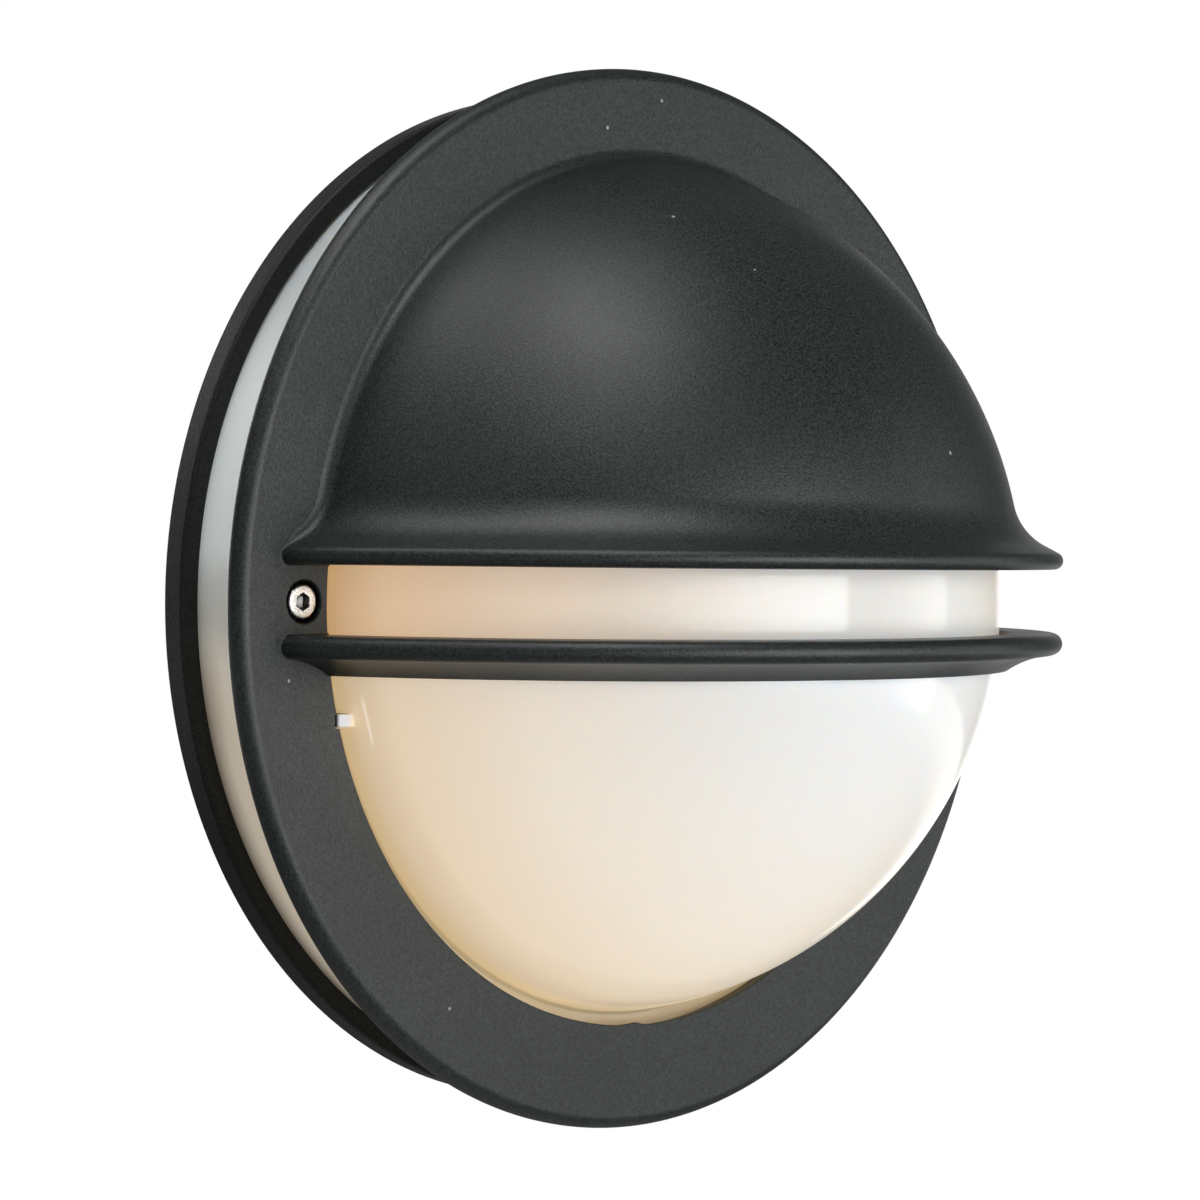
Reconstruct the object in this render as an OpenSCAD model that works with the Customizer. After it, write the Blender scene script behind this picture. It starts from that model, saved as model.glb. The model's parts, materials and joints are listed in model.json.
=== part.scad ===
// Round surface-mounted wall light with a half hood over an opal dome.
// The wall is the plane Y = 0, the light faces -Y and +Z is up.
// Distances called "front" are measured from the wall towards the viewer.

/* [Back plate] */
// Diameter of the back plate
plate_d = 270; // [266:1:290]
// Height of the plate's edge in front of the wall
plate_h = 7.2; // [6.5:0.1:10]
// Thickness of the plate's floor
floor_t = 3; // [2.5:0.1:4]
// Depth of the recess behind the floor
recess_h = 2; // [1:0.1:3]
// Width of the rim that meets the wall
rim_w = 19; // [16:0.5:24]
// Radius along the plate's front edge
plate_edge_r = 1.2; // [0.4:0.1:2]
// Metal left under the gasket groove
groove_floor_t = 3; // [2.5:0.1:3.5]
// Width of the plate's lip outside the gasket groove
plate_lip_w = 5; // [4:0.1:6]
// Wall between the gasket groove and the floor
groove_wall = 4; // [3:0.1:6]
// Number of stiffening ribs on the back
back_ribs = 12; // [6:1:24]
// Thickness of a stiffening rib
back_rib_t = 2.2; // [1.5:0.1:4]
// How far the ribs stay behind the mounting face
back_rib_gap = 0.3; // [0.1:0.1:0.8]

/* [Wall fixing] */
// Distance between the two fixing slots
fix_pitch = 190; // [180:1:200]
// Width of a fixing slot
fix_slot_w = 5.5; // [4.5:0.1:6.5]
// Length of a fixing slot from end to end
fix_slot_l = 14; // [10:0.5:16]
// Radius of the pad around a fixing slot
fix_pad_r = 10; // [9:0.5:12]
// Height of the pad above the floor
fix_pad_h = 2; // [1:0.1:3]
// Thickness of the sealing washer on the pad
fix_seal_t = 2; // [1:0.1:3]
// Diameter of the cable entry through the grommet
cable_d = 10.5; // [8:0.5:12]
// Diameter of the hole that holds the grommet
cable_hole_d = 22; // [20:0.5:24]
// Width of the grommet's flanges beyond its hole
grommet_lip = 3.5; // [2:0.1:5]

/* [Diffuser] */
// Thickness of the side wall
skirt_t = 2.4; // [2:0.1:3]
// Visible height of the side wall between plate and bezel
band_h = 23.6; // [20:0.1:30]
// How much smaller than the bezel's opening the dome is in radius
dome_gap = 0.9; // [0.6:0.1:4]
// Thickness of the dome and the shoulder
dome_t = 3; // [2.5:0.1:3.5]
// How far the dome's centre lies behind the shoulder
dome_sink = 21; // [15:0.5:24]
// Radius where the side wall turns into the shoulder
shoulder_r = 2; // [1:0.1:2.4]
// Width of a locating lug
lug_w = 3.1; // [2:0.1:5]
// How far a locating lug reaches past the edge of the opening
lug_over = 0.3; // [0:0.1:0.9]
// How far a lug stands in front of the bezel ring
lug_proud = 1.4; // [0.5:0.1:2]
// Height of the lugs below the middle
lug_drop = 29; // [22:0.5:40]

/* [Bezel ring] */
// How far the bezel stands out past the back plate
bezel_overhang = 5; // [3:0.5:15]
// Thickness of the flat ring
ring_t = 4.8; // [4:0.1:6]
// Distance from a bezel screw's axis to the edge of the opening
opening_inset = 7.4; // [7:0.1:7.6]
// Radius along the ring's front edge
ring_edge_r = 3.5; // [1:0.1:3.8]
// Radius along the ring's back edge
ring_back_r = 0.8; // [0.2:0.1:1]
// Radius of the hollow corner between ring and hood
hood_fillet_r = 3.5; // [2:0.1:5]

/* [Hood and rib] */
// Thickness of the hood
hood_t = 3.8; // [3:0.1:5]
// How far the hood's centre lies behind the ring's front face
hood_sink = 29.6; // [25:0.1:34]
// Height of the hood's flat underside above the middle
lip_z = 9; // [7:0.1:14]
// How far the lip stands out past the hood
lip_overhang = 10.3; // [7:0.1:14]
// Radius of the lip's rounded edge
lip_nose_r = 2.3; // [1.8:0.1:3]
// Slope of the lip behind its rounded edge
lip_slope = 28; // [22:1:32]
// Radius of the hollow sweep from the hood into the lip
lip_flare_r = 16; // [12:0.5:22]
// Distance of the rib's flat top below the middle
rib_z = 8; // [7:0.1:14]
// Height of the rib at its root
rib_h = 10; // [8:0.1:14]
// How far the rib stands out past the hood
rib_overhang = 10.3; // [7:0.1:14]
// Radius of the rib's rounded edge
rib_nose_r = 2.8; // [2:0.1:3.4]
// Radius of the hollow sweep under the rib
rib_flare_r = 25; // [18:0.5:40]
// Thickness of the rib at its lower edge
rib_root_t = 1.1; // [0.6:0.1:2]

/* [Bezel screws] */
// Distance of each screw from the plate's edge
screw_inset = 15; // [14.6:0.1:15.4]
// Thread diameter of the bezel screws
screw_d = 5; // [4:0.5:6]
// Length under the head
screw_l = 20; // [14:1:20]
// Diameter of the cylindrical head
head_d = 8.5; // [8:0.1:9]
// Height of the head
head_h = 5; // [4:0.1:5.5]
// Width across the flats of the hexagon socket
hex_af = 4; // [3:0.5:5]
// Depth of the hexagon socket
hex_depth = 2.6; // [2:0.1:3]
// How far the head lies under the ring's face
head_sink = 0.4; // [0.2:0.1:1]
// Diameter of the counterbore
bore_d = 10.5; // [9.6:0.1:10.8]
// Outer diameter of the bosses and posts
boss_d = 13; // [12.4:0.1:13]
// Metal under the head
boss_floor_t = 5.2; // [4:0.1:6]
// Thickness of the sealing ring under a head
head_seal_t = 1; // [0.6:0.1:1.4]

/* [Gaskets] */
// Height of the gasket under the diffuser's edge
gasket_h = 2.2; // [1.5:0.1:2.8]
// Thickness of the gasket behind the bezel
pad_t = 0.8; // [0.5:0.1:1.5]
// How far the gasket behind the bezel keeps from the opening
pad_in_gap = 2.4; // [2:0.1:3.4]
// How far it keeps from the outside of the diffuser's side wall
pad_out_gap = 1.1; // [0.5:0.1:1.7]
// Width of the foam strip in the plate's back
wall_seal_w = 3; // [2:0.1:4]
// Depth of the foam strip in the plate's back
wall_seal_h = 1; // [0.5:0.1:1.4]
// Distance of the foam strip's middle from the plate's edge
wall_seal_inset = 7; // [5:0.5:11]

/* [Reflector tray] */
// Gap between the tray's flange and the screw posts
tray_post_gap = 1.5; // [1:0.1:2]
// Width of the tray's flange
tray_flange_w = 8; // [8:0.1:10]
// Height of the tray above the plate's floor
tray_rise = 19; // [18:0.5:22]
// Depth of the tray from its flange to its flat top
tray_depth = 12; // [10:0.5:13]
// Width of the tray's slope
tray_slope_w = 10; // [9:0.5:11]
// Sheet thickness of the tray
tray_t = 1; // [0.8:0.1:1.5]
// Diameter of a boss under the tray
tray_boss_d = 8; // [7:0.5:8]
// Thread diameter of the small screws
small_d = 4; // [3.5:0.1:4]
// Length of a tray screw under its head
tray_screw_l = 6; // [5:0.5:6]
// Head diameter of the small screws
small_head_d = 7.6; // [7:0.1:8]
// Head height of the small screws
small_head_h = 2.5; // [2:0.1:3]

/* [Lamp and lampholder] */
// Distance of the lamp's axis in front of the tray
lamp_rise = 34; // [33:0.5:36]
// Distance of the lampholder's base from the edge of the tray's flat top
holder_inset = 20; // [19.5:0.5:24]
// Length of the lampholder
holder_l = 48; // [46:0.5:50]
// Radius of the lampholder at its mouth
holder_r = 20.5; // [19:0.5:22]
// Depth of the socket in the lampholder
socket_l = 28; // [26:0.5:30]
// Sheet thickness of the threaded sleeve
sleeve_t = 0.5; // [0.4:0.1:0.6]
// Radius of the lamp's cap
cap_r = 13.2; // [13:0.1:13.3]
// Length of the lamp's cap
cap_l = 26; // [24:0.5:28]
// Radius of the lamp's bulb
bulb_r = 30; // [27:0.5:31]
// Overall length of the lamp
lamp_l = 107; // [104:0.5:110]
// Sheet thickness of the lamp bracket
bracket_t = 1.5; // [1:0.1:2]
// Width of the lamp bracket
bracket_w = 30; // [26:1:34]
// Length of the bracket's foot
bracket_foot = 33; // [28:0.5:36]
// Bend radius inside the bracket
bracket_bend_r = 2; // [1:0.1:3]

/* [Wiring] */
// Distance between two poles of the terminal block
pole_pitch = 11; // [10.5:0.5:12]
// Height of the terminal block
block_h = 13; // [12:0.1:14]
// Depth of the terminal block along its wires
block_l = 16; // [15:0.5:18]
// Height of the seat under the terminal block
block_seat_h = 3; // [2:0.1:4]
// Height of the terminal block's middle
block_z = -45; // [-46:0.5:-42]
// Outer radius of the brass clamps
clamp_r = 3; // [2.8:0.1:3.1]
// Bore radius of the brass clamps
clamp_bore_r = 1.9; // [1.6:0.1:2]
// Length of a brass clamp
clamp_l = 12; // [10:0.5:13]
// Thread radius of the terminal screws
pole_screw_r = 1.3; // [1:0.1:1.5]
// Head radius of the terminal screws
pole_head_r = 2; // [1.8:0.1:2.2]
// Radius of the insulated leads
lead_r = 1.2; // [1:0.1:1.3]
// Place of the earth terminal across the plate
earth_x = -40; // [-46:0.5:-36]
// Height of the earth terminal
earth_z = -26; // [-30:0.5:-20]
// Height of the boss under the earth terminal
earth_boss_h = 6; // [5:0.1:7]
// Thickness of the earth lead's ring tag
tag_t = 0.8; // [0.5:0.1:1.2]

/* [Clearances] */
// Gap between the diffuser's edge and its groove
groove_gap = 0.5; // [0.2:0.1:0.8]
// Gap around a boss that passes through another piece
boss_gap = 0.5; // [0.2:0.1:0.8]
// Gap on the diameter around a screw in its thread
thread_gap = 0.1; // [0.05:0.05:0.2]
// Gap on the diameter around a screw's shank in a through hole
shank_gap = 0.6; // [0.3:0.1:1]
// Gap between a locating lug and the end of its notch
lug_gap = 0.9; // [0.5:0.1:1.2]
// Gap on each side of a locating lug
lug_side_gap = 0.4; // [0.2:0.1:0.8]
// Gap around the lamp's cap in the threaded sleeve
cap_gap = 0.5; // [0.3:0.1:0.8]
// Gap around rubber and moulded inserts
insert_gap = 0.1; // [0.05:0.05:0.2]

/* [Hidden] */

fine = 180;
round_fn = 64;
small_fn = 32;
cut = 1;
big = 400;
// Overlap that lets a round and the surface it is tangent to meet in a clean edge
seam = 0.004;

tip_room = 2;

plate_r = plate_d / 2;
groove_out_r = plate_r - plate_lip_w;
skirt_r = groove_out_r - groove_gap;
skirt_in_r = skirt_r - skirt_t;
groove_in_r = skirt_in_r - groove_gap;
floor_y = recess_h + floor_t;
rim_in_r = plate_r - rim_w;
wall_seal_r = plate_r - wall_seal_inset;
bezel_r = plate_r + bezel_overhang;
screw_x = plate_r - screw_inset;
opening_r = screw_x - opening_inset;
pad_in_r = opening_r + pad_in_gap;
pad_out_r = skirt_r - pad_out_gap;
ring_back_y = plate_h + band_h;
ring_front_y = ring_back_y + ring_t;
shoulder_y = ring_back_y - pad_t;
skirt_foot_y = groove_floor_t + gasket_h;
dome_r = opening_r - dome_gap;
dome_y = shoulder_y - dome_sink;
lug_reach = opening_r + lug_over;

hood_y = ring_front_y - hood_sink;
hood_in_r = norm([opening_r, hood_sink]);
hood_out_r = hood_in_r + hood_t;
fillet_c = [sqrt(pow(hood_out_r + hood_fillet_r, 2) - pow(hood_sink + hood_fillet_r, 2)),
    ring_front_y + hood_fillet_r];
fillet_touch = [fillet_c[0] * hood_out_r / (hood_out_r + hood_fillet_r),
    hood_y + (hood_sink + hood_fillet_r) * hood_out_r / (hood_out_r + hood_fillet_r)];

lip_reach = hood_out_r + lip_overhang;
lip_nose = [lip_reach - lip_nose_r, lip_z + lip_nose_r - seam];
lip_up = [sin(lip_slope), cos(lip_slope)];
lip_in = [-cos(lip_slope), sin(lip_slope)];
lip_base = lip_nose + (lip_nose_r + lip_flare_r) * lip_up;
lip_along = lip_base * lip_in;
lip_run = -lip_along - sqrt(pow(lip_along, 2) - lip_base * lip_base
    + pow(hood_out_r + lip_flare_r, 2));
lip_c = lip_base + lip_run * lip_in;
lip_touch = lip_c * hood_out_r / (hood_out_r + lip_flare_r);
lip_start = lip_nose + (lip_nose_r - seam) * lip_up;
lip_end = lip_start + lip_run * lip_in;

rib_reach = hood_out_r + rib_overhang;
rib_low = rib_z + rib_h;
rib_corner = [sqrt(pow(hood_in_r, 2) - pow(rib_low, 2)) + rib_root_t, rib_low];
rib_nose = [rib_reach - rib_nose_r, rib_z + rib_nose_r - seam];
rib_far = norm(rib_nose - rib_corner);
rib_axis = (rib_nose - rib_corner) / rib_far;
rib_a = (pow(rib_flare_r, 2) - pow(rib_flare_r + rib_nose_r, 2) + pow(rib_far, 2))
    / (2 * rib_far);
rib_b = sqrt(pow(rib_flare_r, 2) - pow(rib_a, 2));
rib_c = rib_corner + rib_a * rib_axis + rib_b * [-rib_axis[1], rib_axis[0]];
rib_touch = rib_nose + (rib_nose_r - seam) * (rib_c - rib_nose) / (rib_flare_r + rib_nose_r);

head_top_y = ring_front_y - head_sink;
head_low_y = head_top_y - head_h;
bore_floor_y = head_low_y - head_seal_t;
post_top_y = bore_floor_y - boss_floor_t;
screw_tip_y = head_low_y - screw_l;
post_hole_y = screw_tip_y - tip_room;

tray_top_y = floor_y + tray_rise + tray_t;
tray_flange_y = tray_top_y - tray_depth;
tray_boss_y = tray_flange_y - tray_t;
tray_r = screw_x - boss_d / 2 - tray_post_gap;
tray_top_r = tray_r - tray_flange_w - tray_slope_w;
tray_screw_r = tray_r - tray_boss_d / 2;
tray_angles = [45, 135, 225, 315];
holder_z = holder_inset - tray_top_r;
tray_hole_drop = 12;
tray_hole_z = holder_z - tray_hole_drop;
tray_hole_r = 5;
tray_grommet_r = 6.4;
tray_grommet_bore_r = 3.3;

lamp_y = tray_top_y + lamp_rise;
nipple_r = 4.9;
nipple_bore_r = 3.6;
nipple_l = 12;
nut_af = 14;
nut_t = 3;
holder_wall = 6;
chamber_r = 12;
chamber_l = 9;
socket_r = cap_r + cap_gap + sleeve_t + insert_gap;
socket_z = holder_z + holder_l - socket_l;
mouth_l = 8;
rivet_r = 1.6;
mouth_step = 1.8;
mouth_r = socket_r + mouth_step;
contact_h = 4.5;
tip_z = socket_z + contact_h;
lamp_top_z = tip_z + lamp_l;
bulb_z = lamp_top_z - bulb_r;
neck_step = 0.8;
neck_r = cap_r + neck_step;
neck_flare_r = 40;
neck_z = bulb_z - sqrt(pow(bulb_r + neck_flare_r, 2) - pow(neck_r + neck_flare_r, 2));
neck_touch = [(neck_r + neck_flare_r) * bulb_r / (bulb_r + neck_flare_r),
    bulb_z + (neck_z - bulb_z) * bulb_r / (bulb_r + neck_flare_r)];
bracket_screw_x = 9;
bracket_screw_rise = 12;
bracket_screw_z = holder_z + bracket_screw_rise;
bracket_screw_l = 5;

block_y = floor_y + block_seat_h;
block_end = 1.5;
block_w = 3 * pole_pitch + 2 * block_end;
wire_rise = 5;
wire_y = block_y + wire_rise;
pole_screw_z = [-3.4, 3.4];
pole_screw_tip_y = wire_y + lead_r + insert_gap;
block_screw_r = 1.25;
block_head_r = 1.9;
block_screw_l = 8;
block_screw_rise = 5;
block_screw_seat_y = block_y + block_screw_rise;
earth_y = floor_y + earth_boss_h;
earth_boss_r = 5;
earth_tag_r = 4.2;
earth_screw_l = 6;
tag_y = earth_y + tag_t / 2;
tag_barrel_z = earth_z - 6;
tag_barrel_l = 6;
lead_sides = 8;
lead_steps = 4;
pin_x = 1.6;
block_back_z = block_z - block_l / 2;
lead_up_z = tray_hole_z;

// Revolves a profile of radius and front distance about the light's own axis
module turned(fn = fine) {
    rotate([90, 0, 0]) rotate_extrude($fn = fn) children();
}

// Revolves a profile of radius and height about the upright axis through the hood's centre
module flared(fn = fine) {
    translate([0, -hood_y, 0]) rotate_extrude($fn = fn) children();
}

// Round bar that runs from one front distance to another
module stud(x, z, r, from_y, to_y, fn = round_fn) {
    translate([x, -from_y, z]) rotate([90, 0, 0]) cylinder(h = to_y - from_y, r = r, $fn = fn);
}

// Waste left outside a quarter round, for rounding a corner of a profile
module corner_waste(r) {
    difference() {
        square(r + cut);
        circle(r = r, $fn = small_fn);
    }
}

// Slot through the plate that runs upwards, at the height of its middle
module slot(z, from_y, to_y) {
    half = (fix_slot_l - fix_slot_w) / 2;
    stud(0, z - half, fix_slot_w / 2, from_y, to_y);
    stud(0, z + half, fix_slot_w / 2, from_y, to_y);
    translate([-fix_slot_w / 2, -to_y, z - half]) cube([fix_slot_w, to_y - from_y, 2 * half]);
}

// Screw with a slotted pan head that points to the front
module pan_screw(x, z, seat_y, r, len, head_r, head_y) {
    difference() {
        union() {
            stud(x, z, r, seat_y - len, seat_y, small_fn);
            stud(x, z, head_r, seat_y, seat_y + head_y, small_fn);
        }
        translate([x - head_r - cut, -seat_y - head_y - cut, z - head_r / 8])
            cube([2 * (head_r + cut), head_y / 2 + cut, head_r / 4]);
    }
}

// Points along a smooth curve through the given points
function bend(p, i, t) =
    let(a = p[max(i - 1, 0)], b = p[i], c = p[i + 1], d = p[min(i + 2, len(p) - 1)])
    0.5 * (2 * b + (c - a) * t + (2 * a - 5 * b + 4 * c - d) * pow(t, 2)
        + (3 * b - a - 3 * c + d) * pow(t, 3));
function route(p) = concat(
    [for (i = [0 : len(p) - 2]) for (k = [0 : lead_steps - 1]) bend(p, i, k / lead_steps)],
    [p[len(p) - 1]]);
function unit(v) = v / norm(v);
function heading(p, i) = unit(p[min(i + 1, len(p) - 1)] - p[max(i - 1, 0)]);
function sides(p, i, last) =
    i == 0 ? last : let(s = sides(p, i - 1, last), h = heading(p, i)) unit(s - (s * h) * h);

// Insulated lead swept along a route of points given as across, front distance and height
module lead(points, first_side) {
    path = route([for (q = points) [q[0], -q[1], q[2]]]);
    rings = [for (i = [0 : len(path) - 1])
        let(h = heading(path, i), s = sides(path, i, first_side), n = cross(h, s))
        for (k = [0 : lead_sides - 1])
            path[i] + lead_r * (cos(360 * k / lead_sides) * s + sin(360 * k / lead_sides) * n)];
    count = len(path);
    faces = concat(
        [[for (k = [0 : lead_sides - 1]) k]],
        [for (i = [0 : count - 2]) for (k = [0 : lead_sides - 1])
            let(a = i * lead_sides + k, b = i * lead_sides + (k + 1) % lead_sides)
            [a, a + lead_sides, b + lead_sides, b]],
        [[for (k = [lead_sides - 1 : -1 : 0]) (count - 1) * lead_sides + k]]);
    polyhedron(points = rings, faces = faces, convexity = 4);
}

// Die-cast plate with its gasket groove, screw posts, pads, bosses and back ribs
module base_plate() {
    color([0.20, 0.21, 0.20]) difference() {
        union() {
            turned() difference() {
                polygon([[0, recess_h], [rim_in_r, recess_h], [rim_in_r, 0], [plate_r, 0],
                    [plate_r, plate_h], [groove_out_r, plate_h],
                    [groove_out_r, groove_floor_t], [groove_in_r, groove_floor_t],
                    [groove_in_r, plate_h], [groove_in_r - groove_wall, plate_h],
                    [groove_in_r - groove_wall, floor_y], [0, floor_y]]);
                translate([plate_r - plate_edge_r, plate_h - plate_edge_r])
                    corner_waste(plate_edge_r);
                translate([wall_seal_r - wall_seal_w / 2, -cut])
                    square([wall_seal_w, wall_seal_h + cut]);
            }
            for (side = [-1, 1]) stud(side * screw_x, 0, boss_d / 2, floor_y - cut, post_top_y);
            for (side = [-1, 1]) post_web(side);
            for (side = [-1, 1]) {
                stud(0, side * fix_pitch / 2, fix_pad_r, 0, floor_y + fix_pad_h);
            }
            for (a = tray_angles) {
                stud(tray_screw_r * cos(a), tray_screw_r * sin(a), tray_boss_d / 2,
                    floor_y - cut, tray_boss_y);
            }
            block_seat();
            stud(earth_x, earth_z, earth_boss_r, floor_y - cut, earth_y);
            back_ribs();
        }
        for (side = [-1, 1]) {
            stud(side * screw_x, 0, (screw_d + thread_gap) / 2, post_hole_y, post_top_y + cut);
            slot(side * fix_pitch / 2, -cut, floor_y + fix_pad_h + cut);
        }
        for (a = tray_angles) {
            stud(tray_screw_r * cos(a), tray_screw_r * sin(a), (small_d + thread_gap) / 2,
                tray_flange_y - tray_screw_l - cut, tray_boss_y + cut);
        }
        stud(0, 0, cable_hole_d / 2, -cut, floor_y + cut);
        stud(earth_x, earth_z, (small_d + thread_gap) / 2, earth_y + tag_t - earth_screw_l - cut,
            earth_y + cut);
        for (side = [-1, 1]) {
            stud(side * pole_pitch / 2, block_z, block_screw_r + thread_gap / 2,
                block_screw_seat_y - block_screw_l - cut, block_y + cut);
        }
    }
}

// Web on both sides of a screw post
module post_web(side) {
    web_t = 3;
    web_l = 12;
    toe_h = 2;
    shoulder = floor_y + 0.8 * (post_top_y - floor_y);
    half = boss_d / 2 - 1;
    translate([side * screw_x - web_t / 2, 0, 0]) rotate([90, 0, 90]) linear_extrude(web_t)
        polygon([[-floor_y + cut, -half - web_l], [-floor_y - toe_h, -half - web_l],
            [-shoulder, -half], [-shoulder, half], [-floor_y - toe_h, half + web_l],
            [-floor_y + cut, half + web_l]]);
}

// Raised seat under the terminal block
module block_seat() {
    seat_w = block_w - 4;
    seat_l = block_l - 6;
    translate([-seat_w / 2, -block_y, block_z - seat_l / 2])
        cube([seat_w, block_seat_h + cut, seat_l]);
}

// Ribs in the recess behind the floor
module back_ribs() {
    depth = recess_h - back_rib_gap;
    hub_wall = 2;
    hub_r = cable_hole_d / 2 + grommet_lip + hub_wall;
    turned() translate([hub_r, back_rib_gap]) square([back_rib_t, depth + cut]);
    turned() translate([(hub_r + rim_in_r) / 2, back_rib_gap]) square([back_rib_t, depth + cut]);
    for (i = [0 : back_ribs - 1]) {
        rotate([0, (i + 0.5) * 360 / back_ribs, 0])
            translate([hub_r + 1, -recess_h - cut, -back_rib_t / 2])
                cube([rim_in_r - hub_r, depth + cut, back_rib_t]);
    }
}

// Foam strip in the groove of the mounting face
module wall_seal() {
    color([0.08, 0.08, 0.08]) turned()
        translate([wall_seal_r - wall_seal_w / 2, 0]) square([wall_seal_w, wall_seal_h]);
}

// Silicone ring under the diffuser's edge
module skirt_gasket() {
    color([0.75, 0.75, 0.72]) turned()
        translate([groove_in_r + insert_gap, groove_floor_t])
            square([groove_out_r - groove_in_r - 2 * insert_gap, gasket_h]);
}

// Profile of the moulded opal cover: dome, shoulder and side wall
module diffuser_profile() {
    dome_in_r = dome_r - dome_t;
    difference() {
        union() {
            intersection() {
                translate([0, dome_y]) circle(r = dome_r, $fn = fine);
                translate([0, shoulder_y - dome_t]) square([big, big]);
            }
            difference() {
                translate([0, skirt_foot_y]) square([skirt_r, shoulder_y - skirt_foot_y]);
                translate([skirt_r - shoulder_r, shoulder_y - shoulder_r])
                    corner_waste(shoulder_r);
            }
        }
        intersection() {
            translate([0, dome_y]) circle(r = dome_in_r, $fn = fine);
            translate([0, shoulder_y - dome_t - cut]) square([big, big]);
        }
        translate([-cut, skirt_foot_y - cut])
            square([skirt_in_r + cut, shoulder_y - dome_t - skirt_foot_y + cut]);
    }
}

// Locating lug on the dome, one on each side
module locating_lug(side) {
    reach_x = sqrt(pow(lug_reach, 2) - pow(lug_drop, 2));
    lug_root = 7;
    translate([side > 0 ? reach_x - lug_root : -reach_x, -ring_front_y - lug_proud,
        -lug_drop - lug_w / 2])
        cube([lug_root, ring_front_y + lug_proud - shoulder_y + cut, lug_w]);
}

// Moulded opal cover in one piece
module diffuser() {
    color([0.93, 0.88, 0.78]) difference() {
        union() {
            turned() diffuser_profile();
            intersection() {
                union() {
                    locating_lug(-1);
                    locating_lug(1);
                }
                turned() translate([dome_r - dome_t - 1, shoulder_y - cut]) square([big, big]);
            }
        }
        for (side = [-1, 1]) {
            stud(side * screw_x, 0, boss_d / 2 + boss_gap, shoulder_y - dome_t - cut,
                shoulder_y + cut);
        }
    }
}

// Flat gasket between the shoulder and the bezel
module bezel_gasket() {
    color([0.75, 0.75, 0.72]) difference() {
        turned() translate([pad_in_r, shoulder_y]) square([pad_out_r - pad_in_r, pad_t]);
        for (side = [-1, 1]) {
            stud(side * screw_x, 0, boss_d / 2 + boss_gap, shoulder_y - cut, ring_back_y + cut);
        }
    }
}

// Profile of the flat ring with its rounded rim
module ring_profile() {
    difference() {
        translate([opening_r - cut, ring_back_y])
            square([bezel_r - opening_r + cut, ring_t]);
        translate([bezel_r - ring_edge_r, ring_front_y - ring_edge_r])
            corner_waste(ring_edge_r);
        translate([bezel_r - ring_back_r, ring_back_y + ring_back_r])
            mirror([0, 1]) corner_waste(ring_back_r);
    }
}

// Outer profile of the hood with the hollow corner where it leaves the ring
module hood_profile() {
    wall = 2;
    root_y = ring_front_y - cut;
    intersection() {
        translate([0, hood_y]) circle(r = hood_out_r, $fn = fine);
        translate([0, root_y]) square([big, big]);
    }
    difference() {
        polygon([[fillet_c[0], root_y], [opening_r + wall, root_y],
            fillet_touch - wall * unit(fillet_touch - [0, hood_y]), fillet_touch, fillet_c]);
        translate(fillet_c) circle(r = hood_fillet_r + seam, $fn = round_fn);
    }
}

// Profile of the hood's flared lip
module lip_profile() {
    wall = 2;
    root = lip_touch * (hood_out_r - wall) / hood_out_r;
    translate(lip_nose) circle(r = lip_nose_r, $fn = round_fn);
    difference() {
        polygon([[root[0], lip_z - cut], [lip_nose[0], lip_z - cut], lip_nose, lip_start,
            lip_end, lip_c, lip_touch, root]);
        translate(lip_c) circle(r = lip_flare_r + 2 * seam, $fn = fine);
    }
}

// Profile of the rib below the middle, drawn with its height pointing up
module rib_profile() {
    root_r = hood_in_r - 6;
    translate(rib_nose) circle(r = rib_nose_r, $fn = round_fn);
    difference() {
        polygon([[root_r, rib_z - cut], [rib_nose[0], rib_z - cut], rib_nose, rib_touch,
            rib_c, rib_corner, [root_r, rib_low]]);
        translate(rib_c) circle(r = rib_flare_r + seam, $fn = fine);
    }
}

// Everything in front of the ring and above a height
module front_above(z) {
    translate([-big / 2, -ring_front_y - big + cut, z]) cube([big, big, big]);
}

// Ring, bosses, hood, lip and rib before the hollow inside is taken out
module bezel_body() {
    turned() ring_profile();
    for (side = [-1, 1]) stud(side * screw_x, 0, boss_d / 2, post_top_y, ring_back_y + cut);
    intersection() {
        union() {
            turned() hood_profile();
            flared() lip_profile();
        }
        front_above(lip_z);
    }
    intersection() {
        mirror([0, 0, 1]) flared() rib_profile();
        mirror([0, 0, 1]) front_above(rib_z);
    }
}

// Cast bezel in one piece, hollowed by the ball that also shapes the opening's edge
module bezel() {
    color([0.24, 0.25, 0.24]) difference() {
        union() {
            difference() {
                bezel_body();
                translate([0, -hood_y, 0]) sphere(r = hood_in_r, $fn = fine);
            }
            seat_pad();
        }
        for (side = [-1, 1]) {
            stud(side * screw_x, 0, bore_d / 2, bore_floor_y, ring_front_y + cut);
            stud(side * screw_x, 0, (screw_d + shank_gap) / 2, post_top_y - cut,
                bore_floor_y + cut);
            lug_notch(side);
        }
    }
}

// Small flat on the opening's edge under the dome
module seat_pad() {
    pad_w = 7;
    pad_x = -6;
    pad_rise = 0.5;
    pad_root = 2;
    translate([pad_x - pad_w / 2, -ring_front_y, -opening_r - pad_root])
        cube([pad_w, ring_t, pad_root + pad_rise]);
}

// Notch in the opening's edge that takes a locating lug
module lug_notch(side) {
    reach_x = sqrt(pow(lug_reach, 2) - pow(lug_drop, 2));
    root = 8;
    width = lug_w + 2 * lug_side_gap;
    translate([side > 0 ? reach_x + lug_gap - root : -reach_x - lug_gap, -ring_front_y - cut,
        -lug_drop - width / 2])
        cube([root, ring_t + 2 * cut, width]);
}

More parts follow.
